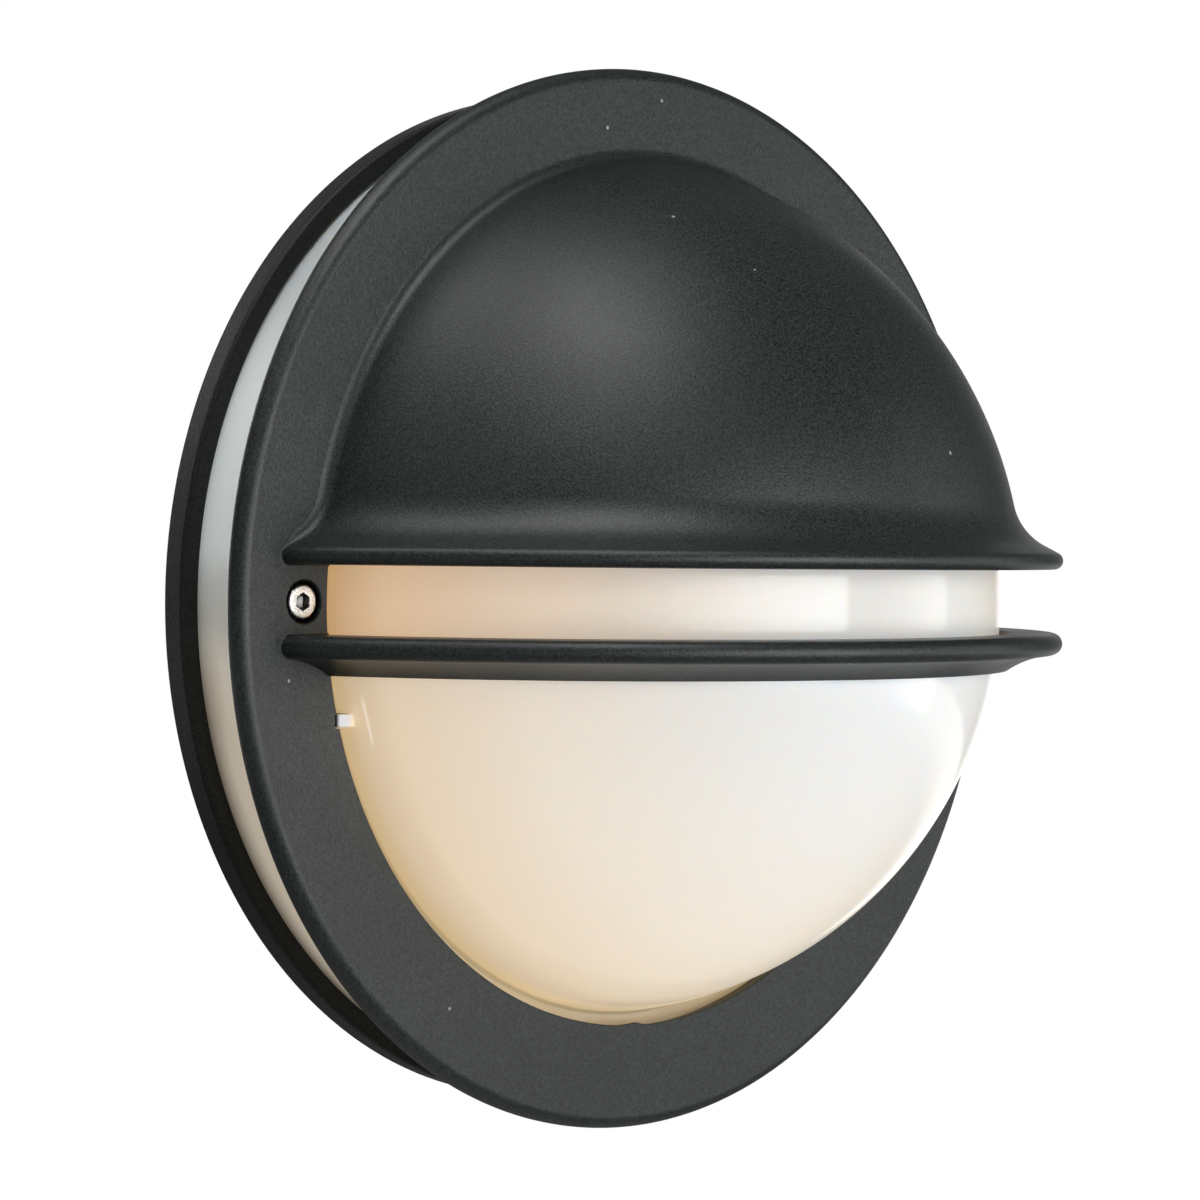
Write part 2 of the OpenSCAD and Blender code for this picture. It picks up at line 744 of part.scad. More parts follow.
// Socket-head screw that clamps the bezel
module bezel_screw(side) {
    rim_r = 0.6;
    color([0.75, 0.75, 0.74]) difference() {
        union() {
            stud(side * screw_x, 0, screw_d / 2, screw_tip_y, head_low_y);
            translate([side * screw_x, 0, 0]) turned(round_fn) difference() {
                translate([0, head_low_y]) square([head_d / 2, head_h]);
                translate([head_d / 2 - rim_r, head_top_y - rim_r]) corner_waste(rim_r);
            }
        }
        translate([side * screw_x, -head_top_y + hex_depth, 0]) rotate([90, 90, 0])
            cylinder(h = hex_depth + cut, r = hex_af / sqrt(3), $fn = 6);
    }
}
module bezel_screw_left() {
    bezel_screw(-1);
}
module bezel_screw_right() {
    bezel_screw(1);
}

// Sealing rings under the heads of the bezel screws
module screw_head_seals() {
    color([0.06, 0.06, 0.06]) for (side = [-1, 1]) {
        translate([side * screw_x, 0, 0]) turned(round_fn)
            translate([screw_d / 2 + insert_gap, bore_floor_y])
                square([(bore_d - screw_d) / 2 - 2 * insert_gap, head_seal_t]);
    }
}

// Sealing washers on the pads of the fixing slots
module fixing_seals() {
    seal_y = floor_y + fix_pad_h;
    color([0.06, 0.06, 0.06]) for (side = [-1, 1]) difference() {
        stud(0, side * fix_pitch / 2, fix_pad_r - 1, seal_y, seal_y + fix_seal_t);
        slot(side * fix_pitch / 2, seal_y - cut, seal_y + fix_seal_t + cut);
    }
}

// Rubber grommet with a cone around the cable entry
module cable_grommet() {
    neck_r = cable_hole_d / 2 - insert_gap;
    flange_r = cable_hole_d / 2 + grommet_lip;
    bore_r = cable_d / 2;
    flange_t = 1.6;
    cone_h = 6;
    color([0.07, 0.07, 0.07]) turned(round_fn) polygon([[bore_r, 0], [flange_r, 0],
        [flange_r, recess_h - insert_gap / 2], [neck_r, recess_h - insert_gap / 2],
        [neck_r, floor_y + insert_gap / 2], [flange_r, floor_y + insert_gap / 2],
        [flange_r, floor_y + flange_t], [neck_r - 1, floor_y + flange_t],
        [bore_r + 1.2, floor_y + flange_t + cone_h], [bore_r, floor_y + flange_t + cone_h]]);
}

// Formed white tray that covers the wiring and carries the lamp bracket
module reflector_tray() {
    color([0.92, 0.92, 0.90]) difference() {
        turned() polygon([[0, tray_top_y - tray_t],
            [tray_top_r - tray_t / 2, tray_top_y - tray_t],
            [tray_r - tray_flange_w - tray_t / 2, tray_flange_y - tray_t],
            [tray_r, tray_flange_y - tray_t], [tray_r, tray_flange_y],
            [tray_r - tray_flange_w, tray_flange_y], [tray_top_r, tray_top_y],
            [0, tray_top_y]]);
        for (a = tray_angles) {
            stud(tray_screw_r * cos(a), tray_screw_r * sin(a), (small_d + shank_gap) / 2,
                tray_boss_y - cut, tray_flange_y + cut);
        }
        stud(0, tray_hole_z, tray_hole_r, tray_top_y - tray_t - cut, tray_top_y + cut);
        for (side = [-1, 1]) {
            stud(side * bracket_screw_x, bracket_screw_z, (small_d + thread_gap) / 2,
                tray_top_y - tray_t - cut, tray_top_y + cut);
        }
    }
}

// Screws that hold the tray on its bosses
module tray_screws() {
    color([0.75, 0.75, 0.74]) for (a = tray_angles) {
        pan_screw(tray_screw_r * cos(a), tray_screw_r * sin(a), tray_flange_y, small_d / 2,
            tray_screw_l, small_head_d / 2, small_head_h);
    }
}

// Grommet where the two leads pass the tray
module tray_grommet() {
    low_y = tray_top_y - tray_t;
    lip_t = 1.4;
    color([0.07, 0.07, 0.07]) translate([0, 0, tray_hole_z]) turned(round_fn) polygon([
        [tray_grommet_bore_r, low_y - lip_t], [tray_grommet_r, low_y - lip_t],
        [tray_grommet_r, low_y], [tray_hole_r - insert_gap, low_y],
        [tray_hole_r - insert_gap, tray_top_y], [tray_grommet_r, tray_top_y],
        [tray_grommet_r, tray_top_y + lip_t], [tray_grommet_bore_r, tray_top_y + lip_t]]);
}

// Folded steel angle that carries the lampholder
module lamp_bracket() {
    bend_out_r = bracket_bend_r + bracket_t;
    back_z = holder_z - bracket_t;
    color([0.72, 0.73, 0.74]) difference() {
        union() {
            translate([-bracket_w / 2, 0, 0]) rotate([90, 0, 90])
                linear_extrude(bracket_w) bracket_profile(bend_out_r, back_z);
            translate([0, -lamp_y, back_z]) cylinder(h = bracket_t, d = bracket_w, $fn = round_fn);
        }
        translate([0, -lamp_y, back_z - cut])
            cylinder(h = bracket_t + 2 * cut, r = nipple_r + insert_gap, $fn = round_fn);
        for (side = [-1, 1]) {
            stud(side * bracket_screw_x, bracket_screw_z, (small_d + shank_gap) / 2,
                tray_top_y - cut, tray_top_y + bracket_t + cut);
        }
    }
}

// Side view of the bracket: foot, bend and upright
module bracket_profile(bend_out_r, back_z) {
    difference() {
        union() {
            translate([-tray_top_y - bracket_t, back_z + bend_out_r])
                square([bracket_t, bracket_foot - bend_out_r]);
            translate([-lamp_y, back_z]) square([lamp_rise - bend_out_r, bracket_t]);
            intersection() {
                translate([-tray_top_y - bend_out_r, back_z + bend_out_r])
                    circle(r = bend_out_r, $fn = round_fn);
                translate([-tray_top_y - bend_out_r, back_z]) square(bend_out_r);
            }
        }
        translate([-tray_top_y - bend_out_r, back_z + bend_out_r])
            circle(r = bracket_bend_r, $fn = round_fn);
    }
}

// Screws that hold the bracket on the tray
module bracket_screws() {
    color([0.75, 0.75, 0.74]) for (side = [-1, 1]) {
        pan_screw(side * bracket_screw_x, bracket_screw_z, tray_top_y + bracket_t, small_d / 2,
            bracket_screw_l, small_head_d / 2, small_head_h);
    }
}

// Places a shape drawn about the Z axis on the lamp's own axis
module on_lamp_axis(z = 0) {
    translate([0, -lamp_y, z]) children();
}

// Hollow threaded tube that joins lampholder and bracket
module holder_nipple() {
    color([0.78, 0.66, 0.36]) on_lamp_axis(holder_z + holder_wall - nipple_l) difference() {
        cylinder(h = nipple_l, r = nipple_r, $fn = round_fn);
        translate([0, 0, -cut]) cylinder(h = nipple_l + 2 * cut, r = nipple_bore_r, $fn = round_fn);
    }
}

// Hexagon nut behind the bracket
module holder_nut() {
    color([0.75, 0.75, 0.74]) on_lamp_axis(holder_z - bracket_t - nut_t) difference() {
        cylinder(h = nut_t, r = nut_af / sqrt(3), $fn = 6);
        translate([0, 0, -cut])
            cylinder(h = nut_t + 2 * cut, r = nipple_r + thread_gap / 2, $fn = round_fn);
    }
}

// Moulded body of the lampholder
module lampholder_body() {
    waist = holder_r - 1.5;
    rivet_hole_r = rivet_r + insert_gap;
    color([0.90, 0.89, 0.85]) on_lamp_axis(holder_z) rotate_extrude($fn = round_fn) polygon([
        [nipple_r + thread_gap / 2, 0], [waist - 3, 0], [waist, 3], [waist, holder_l / 2],
        [holder_r, holder_l / 2 + 2], [holder_r, holder_l], [mouth_r, holder_l],
        [mouth_r, holder_l - mouth_l], [socket_r, holder_l - mouth_l],
        [socket_r, holder_l - socket_l], [rivet_hole_r, holder_l - socket_l],
        [rivet_hole_r, holder_wall + chamber_l], [chamber_r, holder_wall + chamber_l],
        [chamber_r, holder_wall], [nipple_r + thread_gap / 2, holder_wall]]);
}

// Brass sleeve that takes the lamp's cap
module lampholder_sleeve() {
    hole_r = 6;
    low = holder_l - socket_l;
    high = holder_l - mouth_l - 0.5;
    out_r = socket_r - insert_gap;
    color([0.80, 0.68, 0.36]) on_lamp_axis(holder_z) rotate_extrude($fn = round_fn) polygon([
        [hole_r, low], [out_r, low], [out_r, high], [out_r - sleeve_t, high],
        [out_r - sleeve_t, low + sleeve_t], [hole_r, low + sleeve_t]]);
}

// Sprung tongue and rivet under the lamp's tip
module lampholder_contact() {
    rivet_l = 5;
    tongue_w = 5;
    strip_t = 0.5;
    color([0.80, 0.68, 0.36]) {
        on_lamp_axis(socket_z - rivet_l)
            cylinder(h = rivet_l + strip_t, r = rivet_r, $fn = small_fn);
        translate([-tongue_w / 2, -lamp_y, socket_z]) rotate([90, 0, 90])
            linear_extrude(tongue_w) polygon([[-4, 0], [4, 0], [4, strip_t],
                [-2.6, strip_t], [1.5, contact_h], [-0.8, contact_h], [-4, strip_t]]);
    }
}

// Sealed lamp with its cap
module lamp() {
    tip_r = 4.8;
    color([0.95, 0.94, 0.90]) on_lamp_axis() rotate_extrude($fn = round_fn) difference() {
        union() {
            polygon([[0, tip_z], [tip_r, tip_z], [cap_r, tip_z + 4], [cap_r, tip_z + cap_l],
                [neck_r, tip_z + cap_l], [neck_r, neck_z], neck_touch, [0, neck_touch[1]]]);
            intersection() {
                translate([0, bulb_z]) circle(r = bulb_r, $fn = fine);
                translate([0, neck_touch[1] - cut]) square([big, big]);
            }
        }
        translate([neck_r + neck_flare_r, neck_z]) circle(r = neck_flare_r, $fn = fine);
    }
}

// Three-pole terminal block with its wells and wire entries
module terminal_block() {
    color([0.93, 0.92, 0.88]) difference() {
        translate([-block_w / 2, -block_y - block_h, block_z - block_l / 2])
            cube([block_w, block_h, block_l]);
        for (pole = [-1, 0, 1]) {
            translate([pole * pole_pitch, -wire_y, block_z - clamp_l / 2 - insert_gap])
                cylinder(h = clamp_l + 2 * insert_gap, r = clamp_r + insert_gap, $fn = round_fn);
            translate([pole * pole_pitch, -wire_y, block_z - block_l / 2 - cut])
                cylinder(h = block_l + 2 * cut, r = clamp_bore_r, $fn = round_fn);
            for (z = pole_screw_z) {
                stud(pole * pole_pitch, block_z + z, pole_head_r + insert_gap, wire_y,
                    block_y + block_h + cut, small_fn);
            }
        }
        for (side = [-1, 1]) {
            stud(side * pole_pitch / 2, block_z, block_screw_r + shank_gap / 2, block_y - cut,
                block_screw_seat_y + cut, small_fn);
            stud(side * pole_pitch / 2, block_z, block_head_r + insert_gap, block_screw_seat_y,
                block_y + block_h + cut, small_fn);
            for (end = [-1, 1]) barrier_groove(side * pole_pitch / 2, end);
        }
    }
}

// Groove between two poles, from an end of the block to its fixing screw
module barrier_groove(x, end) {
    groove_w = 1;
    groove_h = 2.5;
    inner = block_head_r + 1.5;
    groove_l = block_l / 2 - inner + cut;
    translate([x - groove_w / 2, -block_y - block_h - cut,
        end > 0 ? block_z + inner : block_z - inner - groove_l])
        cube([groove_w, groove_h + cut, groove_l]);
}

// Brass clamps inside the terminal block
module terminal_clamps() {
    color([0.80, 0.68, 0.36]) for (pole = [-1, 0, 1]) difference() {
        translate([pole * pole_pitch, -wire_y, block_z - clamp_l / 2])
            cylinder(h = clamp_l, r = clamp_r, $fn = round_fn);
        translate([pole * pole_pitch, -wire_y, block_z - clamp_l / 2 - cut])
            cylinder(h = clamp_l + 2 * cut, r = clamp_bore_r, $fn = round_fn);
        for (z = pole_screw_z) {
            stud(pole * pole_pitch, block_z + z, pole_screw_r + thread_gap / 2, wire_y,
                wire_y + clamp_r + cut, small_fn);
        }
    }
}

// Screws of the three poles
module terminal_screws() {
    head_h = 2;
    seat_y = wire_y + clamp_r + 0.6;
    color([0.75, 0.75, 0.74]) for (pole = [-1, 0, 1]) {
        for (z = pole_screw_z) {
            pan_screw(pole * pole_pitch, block_z + z, seat_y, pole_screw_r,
                seat_y - pole_screw_tip_y, pole_head_r, head_h);
        }
    }
}

// Screws that hold the terminal block on its seat
module terminal_fixing_screws() {
    color([0.75, 0.75, 0.74]) for (side = [-1, 1]) {
        pan_screw(side * pole_pitch / 2, block_z, block_screw_seat_y, block_screw_r,
            block_screw_l, block_head_r, 1.8);
    }
}

// Screw of the earth terminal
module earth_screw() {
    color([0.75, 0.75, 0.74]) pan_screw(earth_x, earth_z, earth_y + tag_t, small_d / 2,
        earth_screw_l, small_head_d / 2, small_head_h);
}

// Ring tag crimped to the end of the earth lead
module earth_tag() {
    neck_w = 3;
    barrel_t = 0.7;
    barrel_end = 0.5;
    color([0.80, 0.80, 0.80]) difference() {
        union() {
            stud(earth_x, earth_z, earth_tag_r, earth_y, earth_y + tag_t);
            translate([earth_x - neck_w / 2, -earth_y - tag_t, tag_barrel_z])
                cube([neck_w, tag_t, earth_z - tag_barrel_z - small_d / 2 - cut]);
            translate([earth_x, -tag_y, tag_barrel_z - tag_barrel_l])
                cylinder(h = tag_barrel_l + barrel_end, r = lead_r + barrel_t, $fn = round_fn);
        }
        stud(earth_x, earth_z, small_d / 2 + insert_gap, earth_y - cut, earth_y + tag_t + cut);
        translate([earth_x, -tag_y, tag_barrel_z - tag_barrel_l - cut])
            cylinder(h = tag_barrel_l + cut - barrel_end, r = lead_r + insert_gap, $fn = round_fn);
    }
}

// Leads from the terminal block through the tray into the lampholder
module holder_lead(pole_x, side) {
    x = side * pin_x;
    mid_x = (pole_x + x) / 2;
    lead([[pole_x, wire_y, block_z - 3], [pole_x, wire_y, block_back_z - 3],
        [(pole_x + mid_x) / 2, wire_y, block_back_z - 10],
        [mid_x, wire_y + 1, lead_up_z + 13], [x, wire_y + 3, lead_up_z + 4],
        [x, wire_y + 8, lead_up_z], [x, tray_top_y + 3, lead_up_z],
        [x, lamp_y - 16, lead_up_z], [x, lamp_y - 7, lead_up_z + 0.4],
        [x, lamp_y - 1.4, lead_up_z + 4], [x, lamp_y, lead_up_z + 9],
        [x, lamp_y, holder_z + holder_wall + 3]], [1, 0, 0]);
}
module lead_live() {
    color([0.55, 0.25, 0.15]) holder_lead(0, -1);
}
module lead_neutral() {
    color([0.20, 0.35, 0.70]) holder_lead(pole_pitch, 1);
}

// Earth lead from the terminal block to the ring tag
module lead_earth() {
    color([0.55, 0.70, 0.20]) lead([[-pole_pitch, wire_y, block_z - 3],
        [-pole_pitch, wire_y, block_back_z - 3],
        [-pole_pitch - 2.5, wire_y - 0.5, block_back_z - 8],
        [(earth_x - pole_pitch) / 2, wire_y - 1, block_back_z - 10],
        [earth_x + 6, tag_y, block_back_z - 4],
        [earth_x + 0.8, tag_y, tag_barrel_z - tag_barrel_l - 9],
        [earth_x, tag_y, tag_barrel_z - tag_barrel_l - 2],
        [earth_x, tag_y, tag_barrel_z - 1.5]], [1, 0, 0]);
}

base_plate();
wall_seal();
skirt_gasket();
diffuser();
bezel_gasket();
bezel();
bezel_screw_left();
bezel_screw_right();
screw_head_seals();
fixing_seals();
cable_grommet();
reflector_tray();
tray_screws();
tray_grommet();
lamp_bracket();
bracket_screws();
holder_nipple();
holder_nut();
lampholder_body();
lampholder_sleeve();
lampholder_contact();
lamp();
terminal_block();
terminal_clamps();
terminal_screws();
terminal_fixing_screws();
earth_screw();
earth_tag();
lead_live();
lead_neutral();
lead_earth();
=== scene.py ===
# Round wall light with a half hood over an opal dome, as it hangs on the wall.
# The wall is the plane Y = 0, the light faces -Y and Z is up. Sizes in the dictionaries
# are millimetres, and "front" is a distance from the wall towards the viewer.
import json
from math import acos, asin, atan2, cos, degrees, dist, hypot, pi, radians, sin, sqrt
import bpy
import bmesh
from mathutils import Matrix, Vector


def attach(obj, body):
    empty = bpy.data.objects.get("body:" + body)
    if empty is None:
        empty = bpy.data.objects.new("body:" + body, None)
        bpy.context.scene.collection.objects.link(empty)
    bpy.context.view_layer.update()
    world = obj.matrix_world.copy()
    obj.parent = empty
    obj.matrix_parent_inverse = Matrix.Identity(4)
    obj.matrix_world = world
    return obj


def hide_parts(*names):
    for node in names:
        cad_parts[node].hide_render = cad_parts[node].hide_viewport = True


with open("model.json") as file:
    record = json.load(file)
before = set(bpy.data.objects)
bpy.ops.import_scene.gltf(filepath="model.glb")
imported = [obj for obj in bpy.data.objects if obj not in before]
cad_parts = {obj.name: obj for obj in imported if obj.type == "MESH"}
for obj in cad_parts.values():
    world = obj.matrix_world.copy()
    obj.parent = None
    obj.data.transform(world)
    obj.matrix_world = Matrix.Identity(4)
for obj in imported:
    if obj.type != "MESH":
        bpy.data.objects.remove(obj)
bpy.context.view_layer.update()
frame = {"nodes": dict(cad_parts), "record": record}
scene = bpy.context.scene
mm = 0.001
print("frame loaded:", len(frame["nodes"]), "parts")


# ---- camera
cameraView = {
    "distance": 926.65,        # from the middle of the back
    "azimuth": -43.781,        # degrees, negative is to the left of the light
    "elevation": 0.879,
    "yaw": -0.639,             # turns about the camera's own axes
    "pitch": -0.039,
    "roll": 0.543,
    "lens": 101.95,
    "sensor": 36,
    "clip": (0.01, 50),        # metres
}


def direction(azimuth, elevation):
    az, el = radians(azimuth), radians(elevation)
    return Vector((sin(az) * cos(el), -cos(az) * cos(el), sin(el)))


def placeCamera(view):
    place = direction(view["azimuth"], view["elevation"])
    rotation = (-place).to_track_quat("-Z", "Y").to_matrix()
    for key, axis in (("yaw", "Y"), ("pitch", "X"), ("roll", "Z")):
        rotation = rotation @ Matrix.Rotation(radians(view[key]), 3, axis)
    data = bpy.data.cameras.new("camera")
    data.lens, data.sensor_width = view["lens"], view["sensor"]
    data.clip_start, data.clip_end = view["clip"]
    camera = bpy.data.objects.new("camera", data)
    camera.matrix_world = Matrix.Translation(place * view["distance"] * mm) @ rotation.to_4x4()
    scene.collection.objects.link(camera)
    scene.camera = camera


placeCamera(cameraView)
scene.view_settings.view_transform = "Standard"
print("camera placed")


# ---- sizes that several pieces share
screw = {
    "x": 120.0, "headR": 4.25, "headTop": 35.2, "headHeight": 5.0, "chamfer": 0.6,
    "hexFlats": 4.0, "hexDepth": 2.6, "threadR": 2.45, "pitch": 0.8, "threadDepth": 0.42,
    "length": 20.0, "boreR": 5.25, "boreFloor": 29.2, "boreChamfer": 0.35, "holeR": 2.8,
    "bossR": 6.5, "bossLow": 24.0, "ridges": 36, "ridgeDepth": 0.14,
    "ridgeLow": 0.8, "ridgeTop": 1.2, "underEdge": 0.3, "neck": 0.6, "neckEnd": 0.5,
    "tip": 0.4, "tipShare": 0.8, "unthreaded": 1.0, "threadSteps": 8, "threadFade": 0.8,
    "hexFlare": 1.05, "hexMouth": (0.3, -0.15), "hexTip": 0.9, "sharpAngle": 25,
    # painted shade inside the socket: its radius, depth and tone
    "shadeRadius": (2.4, 2.55), "shadeDepth": (0.1, 0.5), "socketShadeTone": (0.26, 0.255, 0.25, 1),
}
lug = {"height": 29.0, "width": 3.1, "reach": 112.9, "front": 36.1, "gap": 0.9, "sideGap": 0.4,
       "length": 5.4, "edge": 0.35}
lug["x"] = sqrt(lug["reach"] ** 2 - lug["height"] ** 2)


# ---- shader helpers
black, white = (0, 0, 0, 1), (1, 1, 1, 1)


def setSockets(tree, node, sockets):
    # links what is a socket and sets what is a value
    for key, value in sockets.items():
        if isinstance(value, bpy.types.NodeSocket):
            tree.links.new(value, node.inputs[key])
        else:
            node.inputs[key].default_value = value


def addNode(tree, kind, sockets=None, **settings):
    made = tree.nodes.new(kind)
    for key, value in settings.items():
        setattr(made, key, value)
    setSockets(tree, made, sockets or {})
    return made


# the helpers below add to the tree of the first socket they are given
def calc(operation, first, second=0.0, third=0.0):
    return addNode(first.id_data, "ShaderNodeMath", {
        0: first, 1: second, 2: third}, operation=operation).outputs[0]


def product(first, *others):
    for other in others:
        first = calc("MULTIPLY", first, other)
    return first


def vectorMath(operation, first, second=(0, 0, 0)):
    return addNode(first.id_data, "ShaderNodeVectorMath", {
        0: first, 1: second}, operation=operation).outputs


def distanceAlong(place, axes):
    # distance from the origin, measured along the axes that aren't zeroed
    flat = vectorMath("MULTIPLY", place, axes)["Vector"]
    return vectorMath("LENGTH", flat)["Value"]


def split(vector):
    return addNode(vector.id_data, "ShaderNodeSeparateXYZ", {0: vector}).outputs


def objectPlace(tree):
    return tree.nodes.new("ShaderNodeTexCoord").outputs["Object"]


def inMetres(span):
    return [edge * mm for edge in span]


def ramp(value, low, high, toLow=0.0, toHigh=1.0, smooth=False):
    return addNode(value.id_data, "ShaderNodeMapRange", {
        "Value": value, "From Min": low, "From Max": high, "To Min": toLow, "To Max": toHigh},
        interpolation_type="SMOOTHSTEP" if smooth else "LINEAR").outputs[0]


def mixed(share, first, second, blendType="MIX"):
    return addNode(share.id_data, "ShaderNodeMix", {0: share, 6: first, 7: second},
                   data_type="RGBA", blend_type=blendType).outputs[2]


def noise(place, scale, detail=2.0, rough=0.5):
    return addNode(place.id_data, "ShaderNodeTexNoise", {
        "Vector": place, "Scale": scale, "Detail": detail, "Roughness": rough}).outputs["Fac"]


def addBump(strength, depth, height):
    return addNode(height.id_data, "ShaderNodeBump", {
        "Strength": strength, "Distance": depth, "Height": height}).outputs[0]


def newGroup(name, inputs, outputs):
    tree = bpy.data.node_groups.new(name, "ShaderNodeTree")
    for way, sockets in (("INPUT", inputs), ("OUTPUT", outputs)):
        for label, value in sockets.items():
            kind = "NodeSocketColor" if isinstance(value, tuple) else "NodeSocketFloat"
            socket = tree.interface.new_socket(label, in_out=way, socket_type=kind)
            socket.default_value = value
    given = tree.nodes.new("NodeGroupInput").outputs
    return tree, given, tree.nodes.new("NodeGroupOutput"), objectPlace(tree)


def mixShaders(share, first, second):
    return addNode(share.id_data, "ShaderNodeMixShader", {
        0: share, 1: first.outputs[0], 2: second.outputs[0]}).outputs[0]


def emptyTree(owner):
    owner.use_nodes = True
    owner.node_tree.nodes.clear()
    return owner.node_tree


def newMaterial(name):
    material = bpy.data.materials.new(name)
    tree = emptyTree(material)
    shader = tree.nodes.new("ShaderNodeBsdfPrincipled")
    addNode(tree, "ShaderNodeOutputMaterial", {"Surface": shader.outputs[0]})
    return material, tree, shader


# ---- studio: white background, soft panels, a pale floor well below the light
studio = {
    "room": 0.11,              # light from all round
    "backdrop": (0.692, 0.722, 0),   # where metal and glass see the white background
    "backdropEdge": (0.88, 0.975),   # cosines between which it fades in
    "panels": {                # azimuth, elevation, distance, width, height (m), watts
        "keyPanel": (-5.7, 0, 1.3, 1.77, 0.95, 24.7),
        "rightPanel": (54, 3, 1.3, 0.7, 1.0, 3.6),
        "topPanel": (-38, 67, 1.3, 0.6, 1.0, 7.8),
        "topLeftPanel": (-120, 62, 1.3, 0.7, 0.7, 3.0),
        "leftPanel": (-82, 30, 1.3, 1.0, 0.6, 0.8),
        "backPanel": (180, 10, 1.3, 0.8, 0.8, 12),
    },
    "aim": (0, -0.06, 0),      # where the panels look
    "fade": {"keyPanel": 0.78, "rightPanel": 0.9},   # share of the width that fades to the left
    "floorSide": 6.0,          # metres from the middle to the floor's edge
    "floorHeight": -1.3,
    "floorColour": (0.6, 0.6, 0.59, 1),
    "whiteShare": 0.78,        # share of plain white in what the camera sees of the floor
    "shadeRadius": (0.9, 1.8),       # from here it rises, and from there on all is white
    "mirrorRadius": (2.7, 4.5),      # the same for what glossy surfaces see of the floor
}


def seenShare(mirrored, direct=None):
    # share of plain white, by what looks: glossy and clear surfaces, or the camera
    path = mirrored.id_data.nodes.new("ShaderNodeLightPath").outputs
    glossy = calc("MAXIMUM", path["Is Glossy Ray"], path["Is Transmission Ray"])
    camera = product(path["Is Camera Ray"], direct) if direct else path["Is Camera Ray"]
    return calc("MAXIMUM", product(glossy, mirrored), camera)


def buildWorld(values):
    scene.world = bpy.data.worlds.new("studioWorld")
    tree = emptyTree(scene.world)
    place = tree.nodes.new("ShaderNodeTexCoord").outputs["Generated"]
    facing = vectorMath("DOT_PRODUCT", place, values["backdrop"])["Value"]
    seen = seenShare(ramp(facing, *values["backdropEdge"], smooth=True))
    room, plain = [addNode(tree, "ShaderNodeBackground", {"Color": white, "Strength": strength})
                   for strength in (values["room"], 1.0)]
    addNode(tree, "ShaderNodeOutputWorld", {"Surface": mixShaders(seen, room, plain)})


def fadeLeft(data, share):
    tree = emptyTree(data)
    across = split(tree.nodes.new("ShaderNodeNewGeometry").outputs["Parametric"])["X"]
    strength = ramp(across, 0.0, share, smooth=True)
    light = addNode(tree, "ShaderNodeEmission", {"Strength": strength})
    addNode(tree, "ShaderNodeOutputLight", {"Surface": light.outputs[0]})


def addPanel(name, azimuth, elevation, distance, width, height, watts):
    data = bpy.data.lights.new(name, "AREA")
    data.shape, data.size, data.size_y, data.energy = "RECTANGLE", width, height, watts
    panel = bpy.data.objects.new(name, data)
    towards = direction(azimuth, elevation)
    panel.location = Vector(studio["aim"]) + towards * distance
    panel.rotation_euler = (-towards).to_track_quat("-Z", "Y").to_euler()
    panel.visible_camera = False
    if name in studio["fade"]:
        fadeLeft(data, studio["fade"][name])
    scene.collection.objects.link(panel)


def buildFloor(values):
    side = values["floorSide"]
    corners = [(x * side, y * side, values["floorHeight"])
               for x, y in ((-1, -1), (1, -1), (1, 1), (-1, 1))]
    mesh = bpy.data.meshes.new("floor")
    mesh.from_pydata(corners, [], [(0, 1, 2, 3)])
    floor = bpy.data.objects.new("floor", mesh)
    scene.collection.objects.link(floor)
    material = bpy.data.materials.new("paleFloor")
    tree = emptyTree(material)
    far = distanceAlong(objectPlace(tree), (1, 1, 0))
    mirrored = ramp(far, *values["mirrorRadius"], smooth=True)
    pale = ramp(far, *values["shadeRadius"], values["whiteShare"], 1.0, smooth=True)
    shaded = addNode(tree, "ShaderNodeBsdfDiffuse", {"Color": values["floorColour"]})
    plain = addNode(tree, "ShaderNodeEmission", {"Strength": 1.0})
    surface = mixShaders(seenShare(mirrored, pale), shaded, plain)
    addNode(tree, "ShaderNodeOutputMaterial", {"Surface": surface})
    mesh.materials.append(material)


buildWorld(studio)
for panelName, panelValues in studio["panels"].items():
    addPanel(panelName, *panelValues)
buildFloor(studio)
print("studio built")


# ---- mesh helpers
overcut = 1.0                  # how far cuts and joined forms reach past a surface
weldNear, weldThin = 2e-7, 1e-7      # metres


def addMesh(name, points, faces):
    mesh = bpy.data.meshes.new(name)
    mesh.from_pydata([tuple(c * mm for c in p) for p in points], [], faces)
    work = bmesh.new()
    work.from_mesh(mesh)
    bmesh.ops.remove_doubles(work, verts=work.verts, dist=weldNear)
    bmesh.ops.dissolve_degenerate(work, edges=work.edges, dist=weldThin)
    bmesh.ops.recalc_face_normals(work, faces=work.faces)
    work.to_mesh(mesh)
    work.free()
    piece = bpy.data.objects.new(name, mesh)
    scene.collection.objects.link(piece)
    return piece


def pick(form, names):
    return [form[name] for name in names.split()]


def blend(start, end, share):
    return start + (end - start) * share


def arc(cx, cy, radius, start, end, count):
    points = []
    for i in range(count + 1):
        a = radians(blend(start, end, i / count))
        points.append((cx + radius * cos(a), cy + radius * sin(a)))
    return points


def lathe(name, profile, steps=360, x=0.0, z=0.0):
    # turns a closed profile of (radius, front) about an axis that runs to the front
    points, rings, faces = [], [], []
    for radius, front in profile:
        if radius < 1e-6:
            rings.append([len(points)] * steps)
            points.append((x, -front, z))
        else:
            rings.append(range(len(points), len(points) + steps))
            for i in range(steps):
                a = 2 * pi * i / steps
                points.append((x + radius * cos(a), -front, z + radius * sin(a)))
    onAxis = profile[0][0] < 1e-6
    for k in range(len(profile) - 1 if onAxis else len(profile)):
        near, far = rings[k], rings[(k + 1) % len(profile)]
        for i in range(steps):
            j = (i + 1) % steps
            face = list(dict.fromkeys((near[i], near[j], far[j], far[i])))
            if len(face) > 2:
                faces.append(face)
    return addMesh(name, points, faces)


